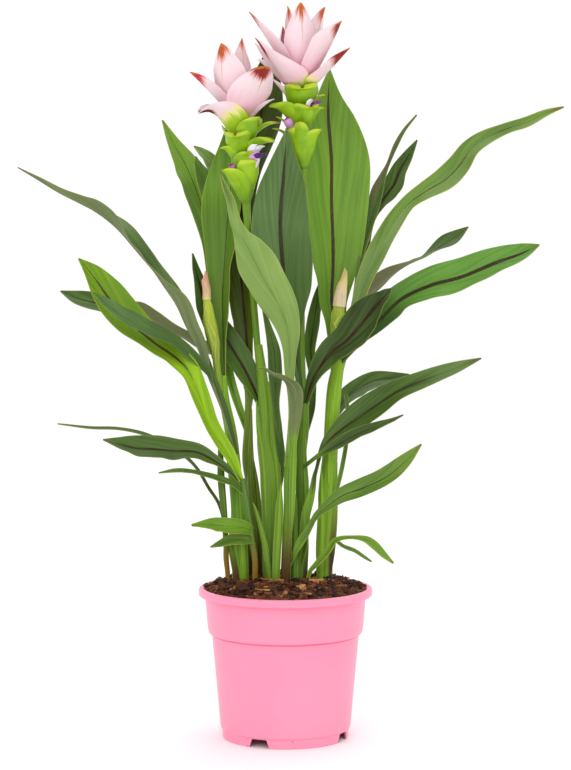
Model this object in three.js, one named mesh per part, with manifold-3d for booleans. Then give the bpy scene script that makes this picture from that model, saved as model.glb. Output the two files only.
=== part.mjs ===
// A potted siam tulip: a pink nursery pot filled with potting soil, a clump of leafy shoots with
// long lance-shaped leaves, two flower spikes and two young flower buds.
// Millimetres, +Z up, +X to the viewer's right, +Y away from the viewer. The origin is on the
// pot's axis, on the surface that the pot stands on.

import * as THREE from "three";
import { mergeVertices } from "three/addons/utils/BufferGeometryUtils.js";
import Module from "manifold-3d";

const wasm = await Module();
wasm.setup();

// Driving dimensions of the pot
const POT_HEIGHT = 104;
const RIM_RADIUS = 60;
const LIP_HEIGHT = 5.3;
const LIP_WIDTH = 4;
const BAND_TOP_RADIUS = 55.7;
const BAND_BOTTOM_RADIUS = 53.8;
const SHOULDER_HEIGHT = 72.5;
const WALL_TOP_RADIUS = 50.9;
const WALL_BOTTOM_RADIUS = 45;
const SKIRT_RADIUS = 43.5;
const SKIRT_HEIGHT = 6.2;
const POT_WALL = 1.2;
const POT_SIDES = 28;
const NOTCH_WIDTH = 14;
const NOTCH_HEIGHT = 6;
const NOTCH_COUNT = 4;
const FIRST_NOTCH_TURN = 65.5;
const DRAIN_HOLE_RADIUS = 4;
const DRAIN_HOLE_RING = 30;

// Driving dimensions of the plant
const SOIL_HEIGHT = 103;
const SOIL_MOUND = 6;
const SOIL_ROUGHNESS = 1.6;
const STEM_DEPTH = 14;
const LEAF_THICKNESS = 0.8;
const BRACT_THICKNESS = 0.8;
const CLEARANCE = 0.3;

const FLOOR_TOP = SKIRT_HEIGHT + 3.4;
const degrees = THREE.MathUtils.degToRad;

function material(color, roughness) {
  return new THREE.MeshStandardMaterial({ color, roughness, metalness: 0, flatShading: true });
}

const MATERIALS = {
  pot: material(0xff9fb8, 0.35),
  soil: material(0x4a2f1c, 0.95),
  stem: material(0x6f9a2c, 0.5),
  leaf: material(0x4f7f2e, 0.45),
  darkLeaf: material(0x33562c, 0.45),
  brightLeaf: material(0x8db92a, 0.45),
  greenBract: material(0xa3c626, 0.5),
  pinkBract: material(0xf3d7de, 0.5),
  floret: material(0x8a5bb8, 0.5),
};

// Turning geometry into solids and back

function solidFrom(geometry) {
  const bare = geometry.index ? geometry.toNonIndexed() : geometry.clone();
  bare.deleteAttribute("uv");
  bare.deleteAttribute("normal");
  const merged = mergeVertices(bare, 1e-4);
  const triVerts = new Uint32Array(merged.index.array);
  const build = () => new wasm.Manifold(new wasm.Mesh({
    numProp: 3,
    vertProperties: merged.attributes.position.array,
    triVerts,
  }));
  const solid = build();
  if (solid.volume() > 0) return solid;
  triVerts.reverse();
  return build();
}

function geometryFrom(solid) {
  const mesh = solid.getMesh();
  const geometry = new THREE.BufferGeometry();
  geometry.setAttribute("position", new THREE.BufferAttribute(mesh.vertProperties, 3));
  geometry.setIndex(new THREE.BufferAttribute(mesh.triVerts, 1));
  geometry.computeVertexNormals();
  return geometry;
}

function largestBody(solid) {
  return solid.decompose().reduce((a, b) => (b.volume() > a.volume() ? b : a));
}

function joined(solids) {
  return solids.reduce((a, b) => a.add(b));
}

// A closed skin over rings that have equally many points, capped at both ends. Each half of a
// ring is split along the other diagonal, so that both faces of a blade fold alike.
function skin(rings) {
  const count = rings[0].length;
  const positions = rings.flat().flatMap((point) => point.toArray());
  const faces = [];
  const quad = (a, b, c, d) => faces.push(a, b, c, a, c, d);
  for (let row = 0; row < rings.length - 1; row++) {
    for (let i = 0; i < count; i++) {
      const a = row * count + i;
      const b = row * count + ((i + 1) % count);
      if (i < count / 2) quad(a, b, b + count, a + count);
      else quad(b, b + count, a + count, a);
    }
  }
  const last = (rings.length - 1) * count;
  for (let i = 0; i < count / 2 - 1; i++) {
    const j = count - 1 - i;
    quad(j, j - 1, i + 1, i);
    quad(last + i, last + i + 1, last + j - 1, last + j);
  }
  const geometry = new THREE.BufferGeometry();
  geometry.setAttribute("position", new THREE.Float32BufferAttribute(positions, 3));
  geometry.setIndex(faces);
  return geometry;
}

// The frame at a place along a midrib: the tangent, the side that a blade's width lies along,
// and the normal of its upper face. With no turn the upper face looks at the viewer.
function frameAt(curve, t, turn) {
  const along = curve.getTangent(t);
  const flat = new THREE.Vector3(0, 1, 0).cross(along).normalize();
  const toViewer = flat.clone().cross(along);
  const side = flat.multiplyScalar(Math.cos(turn)).addScaledVector(toViewer, Math.sin(turn));
  return { along, side, normal: side.clone().cross(along) };
}

function curveThrough(points) {
  return new THREE.CatmullRomCurve3(points, false, "catmullrom", 0.5);
}

// A blade: a leaf or a bract of one even thickness. Its stations run from base to tip, each
// [x, y, z, half-width, turn in degrees]. The two halves rise from the midrib by the fold
// and curl further towards their edges by the cup. The edges wave. With edgesOnLine the stations
// lie midway between the two edges, and the midrib runs lower.
function blade(stations, shape, grown = 0) {
  const { fold = 10, cup = 10, wave = 0, waves = 3, phase = 0, rows = 9, columns = 4 } = shape;
  const thickness = (shape.thickness ?? LEAF_THICKNESS) + 2 * grown;
  const midrib = curveThrough(stations.map(([x, y, z]) => new THREE.Vector3(x, y, z)));
  const profile = curveThrough(stations.map(([, , , w, turn]) => new THREE.Vector3(w, turn, 0)));
  const rings = [];
  for (let row = 0; row <= rows; row++) {
    const t = row / rows;
    const { x: width, y: turn } = profile.getPoint(t);
    const { along, side, normal } = frameAt(midrib, t, degrees(turn));
    const half = Math.max(width, 0.4);
    const sink = shape.edgesOnLine ? half * Math.sin(degrees(fold + cup / 2)) : 0;
    const middle = midrib.getPoint(t).addScaledVector(normal, -sink);
    if (row === 0) middle.addScaledVector(along, -grown);
    if (row === rows) middle.addScaledVector(along, grown);
    const upper = [];
    const lower = [];
    for (let column = 0; column <= columns; column++) {
      const s = (2 * column) / columns - 1;
      const chord = degrees(fold + (cup * Math.abs(s)) / 2);
      const slope = degrees(fold + cup * Math.abs(s)) * Math.sign(s);
      const ripple = wave * s * Math.abs(s) * Math.sin(2 * Math.PI * waves * t + phase);
      const point = middle.clone()
        .addScaledVector(side, half * s * Math.cos(chord) + grown * s * Math.cos(slope))
        .addScaledVector(normal, half * Math.abs(s) * Math.sin(chord) + ripple)
        .addScaledVector(normal, grown * s * Math.sin(slope));
      const out = normal.clone().multiplyScalar(Math.cos(slope))
        .addScaledVector(side, -Math.sin(slope))
        .multiplyScalar(thickness / 2);
      upper.push(point.clone().add(out));
      lower.unshift(point.clone().sub(out));
    }
    rings.push([...upper, ...lower]);
  }
  return solidFrom(skin(rings));
}

// A stalk: stations from foot to top, each [x, y, z, radius]. It is a little flattened.
function stalk(stations, shape = {}, grown = 0) {
  const { sides = 10, rows = 8, flatness = 1 } = shape;
  const middle = curveThrough(stations.map(([x, y, z]) => new THREE.Vector3(x, y, z)));
  const profile = curveThrough(stations.map(([, , , radius]) => new THREE.Vector3(radius, 0, 0)));
  const rings = [];
  for (let row = 0; row <= rows; row++) {
    const t = row / rows;
    const radius = Math.max(profile.getPoint(t).x, 0.4) + grown;
    const { along, side, normal } = frameAt(middle, t, 0);
    const centre = middle.getPoint(t);
    if (row === 0) centre.addScaledVector(along, -grown);
    if (row === rows) centre.addScaledVector(along, grown);
    const ring = [];
    for (let i = 0; i < sides; i++) {
      const angle = (2 * Math.PI * (i + 0.5)) / sides;
      ring.push(centre.clone()
        .addScaledVector(side, radius * Math.cos(angle))
        .addScaledVector(normal, radius * flatness * Math.sin(angle)));
    }
    rings.push(ring);
  }
  return solidFrom(skin(rings));
}

// The plant's pieces give way to each other: each new one is cut back from the pieces made
// before it, with a clearance, and keeps its largest body.
const plant = new THREE.Group();
const obstacles = [];

function boxOf(solid) {
  const { min, max } = solid.boundingBox();
  return new THREE.Box3(new THREE.Vector3(...min), new THREE.Vector3(...max));
}

function addPiece(name, look, make) {
  const whole = make(0);
  const reach = boxOf(whole);
  let kept = whole;
  for (const obstacle of obstacles) {
    if (obstacle.reach.intersectsBox(reach)) kept = kept.subtract(obstacle.grown);
  }
  if (kept !== whole) kept = largestBody(kept);
  const mesh = new THREE.Mesh(geometryFrom(kept), look);
  mesh.name = name;
  mesh.userData.lost = whole.volume() - kept.volume();
  plant.add(mesh);
  const grown = make(CLEARANCE);
  obstacles.push({ name, grown, reach: boxOf(grown) });
}

// The shoots' stems. Each stands in the soil, so its first station is well below the surface.

const STEM_FOOT = SOIL_HEIGHT - STEM_DEPTH;
const STEMS = {
  stem_thin_left: [
    [-40, 1, STEM_FOOT, 1.5], [-40, 1, 111, 1.7], [-41, -2, 124, 1.9], [-41, -5, 134, 1.9],
    [-42, -10, 155, 2.2], [-44, -11, 179, 2.6], [-45, -10, 207, 2.8], [-47, -8, 227, 2.2],
  ],
  stem_thick_left: [
    [-31, 3, STEM_FOOT, 5], [-31, 3, 110, 5.3], [-32, 3, 122, 6.4], [-33, 3, 133, 6.9],
    [-33, 3, 143, 5.9], [-33, 3, 155, 4.8], [-34, 3, 171, 4.7], [-36, 3, 192, 4.7],
    [-38, 3, 212, 4.1], [-42, 4, 233, 3.4], [-43, 5, 250, 2.4],
  ],
  stem_slim_left: [
    [-21, -6, STEM_FOOT, 1.9], [-21, -6, 112, 2], [-21, -6, 123, 2.1], [-23, -6, 137, 2.1],
    [-25, -7, 150, 2.3], [-27, -9, 163, 2.6], [-30, -10, 180, 2.2],
  ],
  stem_olive: [
    [-20, 17, STEM_FOOT, 3.5], [-21, 17, 120, 3.6], [-22, 17, 148, 3.7], [-23, 17, 169, 4],
    [-26, 17, 190, 4.2], [-26, 17, 211, 3.1], [-26, 17, 232, 2.2], [-28, 17, 250, 1.6],
  ],
  stem_thick_centre: [
    [-10, 6, STEM_FOOT, 5.8], [-10, 6, 111, 6.1], [-10, 6, 136, 6.4], [-10, 6, 164, 6.9],
    [-11, 6, 184, 6.9], [-14, 7, 205, 5.8], [-14, 8, 226, 4.8], [-16, 9, 247, 3.8],
    [-19, 10, 271, 2.9],
  ],
  stem_brown_foot: [
    [0, -6, STEM_FOOT, 3.3], [0, -6, 112, 3.4], [1, -7, 137, 3.4], [2, -8, 162, 3.3],
    [2, -9, 179, 3.2], [3, -10, 195, 2.8],
  ],
  stem_right_of_centre: [
    [10, 4, STEM_FOOT, 5.1], [10, 4, 112, 5.3], [11, 4, 133, 5.1], [11, 4, 153, 4.3],
    [11, 3, 174, 4.1], [10, 2, 195, 4.4], [12, 0, 213, 4.1], [13, -2, 232, 3],
  ],
  stem_thick_right: [
    [27, 6, STEM_FOOT, 5.4], [27, 6, 110, 5.6], [27, 6, 129, 6.1], [28, 6, 143, 6.5],
    [29, 6, 158, 6.6], [29, 6, 171, 6.3], [31, 6, 198, 5.2], [32, 7, 219, 5],
    [34, 8, 243, 5], [38, 9, 264, 3.5],
  ],
};

for (const [name, stations] of Object.entries(STEMS)) {
  addPiece(name, MATERIALS.stem, (grown) => stalk(stations, { rows: 6, sides: 8 }, grown));
}

// Flower spikes. A spike's own frame stands at the foot of its lowest bract, +Z up the spike.
// A bract leaves the axis at a height and follows a curve through a belly to its tip; its
// numbers are [turn about the axis, height, belly radius, belly rise, tip radius, tip rise,
// half-width, cup if it differs]. A turn of 0 faces the viewer and 90 is to the viewer's right.

const BRACT_ROOT_RADIUS = 4;

function bract(numbers, shape, grown) {
  const [turn, height, bellyRadius, bellyRise, tipRadius, tipRise, width, cup = shape.cup] = numbers;
  const line = new THREE.QuadraticBezierCurve(
    new THREE.Vector2(shape.rootRadius ?? BRACT_ROOT_RADIUS, height),
    new THREE.Vector2(bellyRadius, height + bellyRise),
    new THREE.Vector2(tipRadius, height + tipRise),
  );
  const stations = shape.widths.map((share, i) => {
    const { x: radius, y: rise } = line.getPoint(i / (shape.widths.length - 1));
    return [0, -radius, rise, width * share, 180];
  });
  const made = blade(stations, { ...shape, cup }, grown);
  return made.transform(new THREE.Matrix4().makeRotationZ(degrees(turn)).toArray());
}

const PINK_SHAPE = {
  widths: [0.4, 0.85, 1, 0.72, 0.06], fold: 4, cup: 58, rows: 4, thickness: BRACT_THICKNESS,
};
const BLUNT_SHAPE = { ...PINK_SHAPE, widths: [0.35, 0.8, 1, 0.9, 0.3] };
const GREEN_SHAPE = {
  widths: [0.4, 0.8, 1, 0.85, 0.3], fold: 6, cup: 66, rows: 3, thickness: BRACT_THICKNESS,
};
const PETAL_SHAPE = {
  widths: [0.5, 1, 0.5], fold: 6, cup: 40, rows: 2, columns: 2, thickness: BRACT_THICKNESS,
  rootRadius: 8,
};

const SPIKE_LEFT = {
  name: "bloom_left",
  foot: new THREE.Vector3(-27, -9, 370),
  lean: -4.5,
  scape: [[-19, 10, 266, 2.3], [-22, 6, 302, 2.3], [-24, 0, 330, 2.3], [-26, -6, 356, 2.5],
    [-27, -9, 374, 3]],
  core: [[0, 0, -2, 2.8], [0, 0, 9, 6.6], [0, 0, 26, 8], [0, 0, 41, 6.6]],
  heart: [[0, 0, 41.5, 6.2], [0, 0, 58, 6.6], [0, 0, 84, 2.4]],
  green: [
    [-45, 0, 9, 12, 15, 20, 11], [50, 3, 10, 12, 12, 20, 11], [180, 6, 10, 13, 14, 19, 12],
    [-5, 14, 9, 10, 13, 18, 10], [-85, 22, 9, 9, 15, 14, 9], [65, 26, 11, 12, 20, 14, 10],
    [-12, 27, 11, 12, 16, 17, 13], [50, 37, 13, 17, 30, 13, 13, 40],
    [-140, 32, 11, 14, 16, 19, 12], [140, 36, 12, 12, 20, 16, 13],
  ],
  pink: [
    [-42, 60, 17, 16, 13, 47, 15], [-85, 55, 13, 14, 32, 33, 10], [-55, 43, 14, 26, 33, 16, 13, 16],
    [150, 62, 14, 24, 12, 48, 11], [-150, 62, 14, 22, 9, 43, 11], [105, 52, 14, 10, 24, 17, 11],
    [-165, 54, 16, 14, 22, 30, 13],
  ],
  blunt: [[36, 54, 21, 15, 28, 35, 18, 48]],
};

const SPIKE_RIGHT = {
  name: "bloom_right",
  foot: new THREE.Vector3(12, 12, 384),
  lean: -1.5,
  scape: [[10, 3, 186, 2], [11, 11, 208, 2.3], [12, 16, 236, 2.4], [11, 16, 270, 2.4],
    [11, 15, 316, 2.4], [11, 13, 355, 2.5], [12, 12, 396, 3]],
  core: [[0, 0, 8, 3], [0, 0, 19, 6.6], [0, 0, 36, 8], [0, 0, 53, 6.8]],
  heart: [[0, 0, 53.5, 6.2], [0, 0, 68, 6.6], [0, 0, 94, 2.4]],
  green: [
    [-40, 10, 9, 12, 14, 22, 11], [50, 10, 9, 13, 15, 25, 11], [180, 12, 9, 12, 13, 20, 11],
    [-90, 20, 9, 8, 17, 17, 8], [0, 22, 9, 10, 13, 17, 10], [-65, 34, 11, 13, 21, 17, 12],
    [65, 32, 10, 12, 16, 18, 11], [100, 42, 9, 10, 15, 17, 7], [-5, 46, 12, 12, 15, 19, 14],
    [-160, 34, 11, 13, 17, 19, 13],
  ],
  pink: [
    [12, 68, 15, 18, 8, 53, 13], [-150, 70, 13, 24, 11, 50, 10], [-115, 66, 14, 18, 13, 38, 9],
    [-97, 66, 12, 18, 32, 49, 11], [130, 68, 14, 22, 23, 51, 12], [78, 66, 16, 18, 30, 43, 15],
    [-52, 60, 18, 13, 36, 34, 17], [72, 61, 16, 8, 36, 29, 8], [-72, 56, 13, 8, 23, 14, 9],
    [175, 62, 16, 15, 26, 33, 13], [-115, 58, 14, 12, 30, 25, 11],
  ],
  blunt: [],
};

function spikePlace(spike) {
  return new THREE.Matrix4().makeTranslation(spike.foot)
    .multiply(new THREE.Matrix4().makeRotationY(degrees(spike.lean)))
    .toArray();
}

for (const spike of [SPIKE_LEFT, SPIKE_RIGHT]) {
  const place = spikePlace(spike);
  addPiece(spike.name + "_green_bracts", MATERIALS.greenBract, (grown) => joined([
    stalk(spike.core, { rows: 4, sides: 8 }, grown),
    ...spike.green.map((numbers) => bract(numbers, GREEN_SHAPE, grown)),
  ]).transform(place).add(stalk(spike.scape, { rows: 6, sides: 8 }, grown)));
  addPiece(spike.name + "_pink_bracts", MATERIALS.pinkBract, (grown) => joined([
    stalk(spike.heart, { rows: 3, sides: 8 }, grown),
    ...spike.pink.map((numbers) => bract(numbers, PINK_SHAPE, grown)),
    ...spike.blunt.map((numbers) => bract(numbers, BLUNT_SHAPE, grown)),
  ]).transform(place));
}

// Florets, each a short tube with petals that looks out of a green bract. A floret's tube is
// [turn, foot radius, foot height, mouth radius, mouth height, thickness].

const FLORETS = {
  floret_left: [SPIKE_LEFT, [58, 5, 16, 12.5, 31, 2.2], [
    [42, 26, 12, 8, 15, 13, 4], [74, 26, 13, 8, 16, 13, 4], [58, 26, 14, 2, 20, 3, 5],
  ]],
  floret_left_small: [SPIKE_LEFT, [-42, 4, 12, 12, 24, 1.8], []],
  floret_right: [SPIKE_RIGHT, [58, 5, 38, 12, 52, 2], [
    [48, 46, 12, 7, 15, 12, 4], [60, 47, 13, 2, 18, 3, 4],
  ]],
  floret_right_low: [SPIKE_RIGHT, [-62, 5, 28, 12, 42, 2.4], []],
  floret_right_top: [SPIKE_RIGHT, [66, 5, 66, 13, 80, 1.7], []],
};

function floret([turn, footRadius, footHeight, mouthRadius, mouthHeight, radius], petals, grown) {
  const tube = stalk(
    [[0, -footRadius, footHeight, radius * 0.7], [0, -mouthRadius, mouthHeight, radius]],
    { rows: 1, sides: 6 },
    grown,
  ).transform(new THREE.Matrix4().makeRotationZ(degrees(turn)).toArray());
  return joined([tube, ...petals.map((numbers) => bract(numbers, PETAL_SHAPE, grown))]);
}

for (const [name, [spike, tube, petals]] of Object.entries(FLORETS)) {
  addPiece(name, MATERIALS.floret, (grown) => (
    floret(tube, petals, grown).transform(spikePlace(spike))
  ));
}

// Flower buds, each a slim pink tip that stands out of a green sheath on its own stalk.

const BUDS = {
  bud_left_green: [MATERIALS.greenBract, [
    [-45, 2, 240, 2], [-47, 1, 254, 2], [-48, 0, 264, 2.4], [-49, 0, 271, 3.4],
    [-51, 0, 282, 4.3], [-53, 0, 294, 3.4], [-54, 0, 303, 2.9],
  ]],
  bud_left_pink: [MATERIALS.pinkBract, [
    [-54, 0, 303.4, 2.8], [-54, 0, 309, 2.7], [-55, 0, 316, 2.2], [-55, 0, 322, 0.6],
  ]],
  bud_right_green: [MATERIALS.greenBract, [
    [36, 12, 258, 2.4], [35, 12, 271, 2.8], [35, 12, 280, 3.5], [36, 12, 288, 4.1],
    [37, 12, 298, 4.3],
  ]],
  bud_right_pink: [MATERIALS.pinkBract, [
    [37, 12, 298.4, 4.2], [38, 12, 305, 4], [40, 12, 316, 2.6], [41, 12, 324, 0.6],
  ]],
};

for (const [name, [look, stations]] of Object.entries(BUDS)) {
  addPiece(name, look, (grown) => stalk(stations, { rows: 6, sides: 8 }, grown));
}

// Leaves, each from its base in the stem to its tip. Left and right are the viewer's.

const BROAD = { fold: 10, cup: 14, wave: 1, rows: 8, columns: 4, edgesOnLine: true };
const NARROW = { fold: 12, cup: 10, wave: 0, rows: 7, columns: 2, edgesOnLine: true };
const { leaf, darkLeaf, brightLeaf } = MATERIALS;

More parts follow.
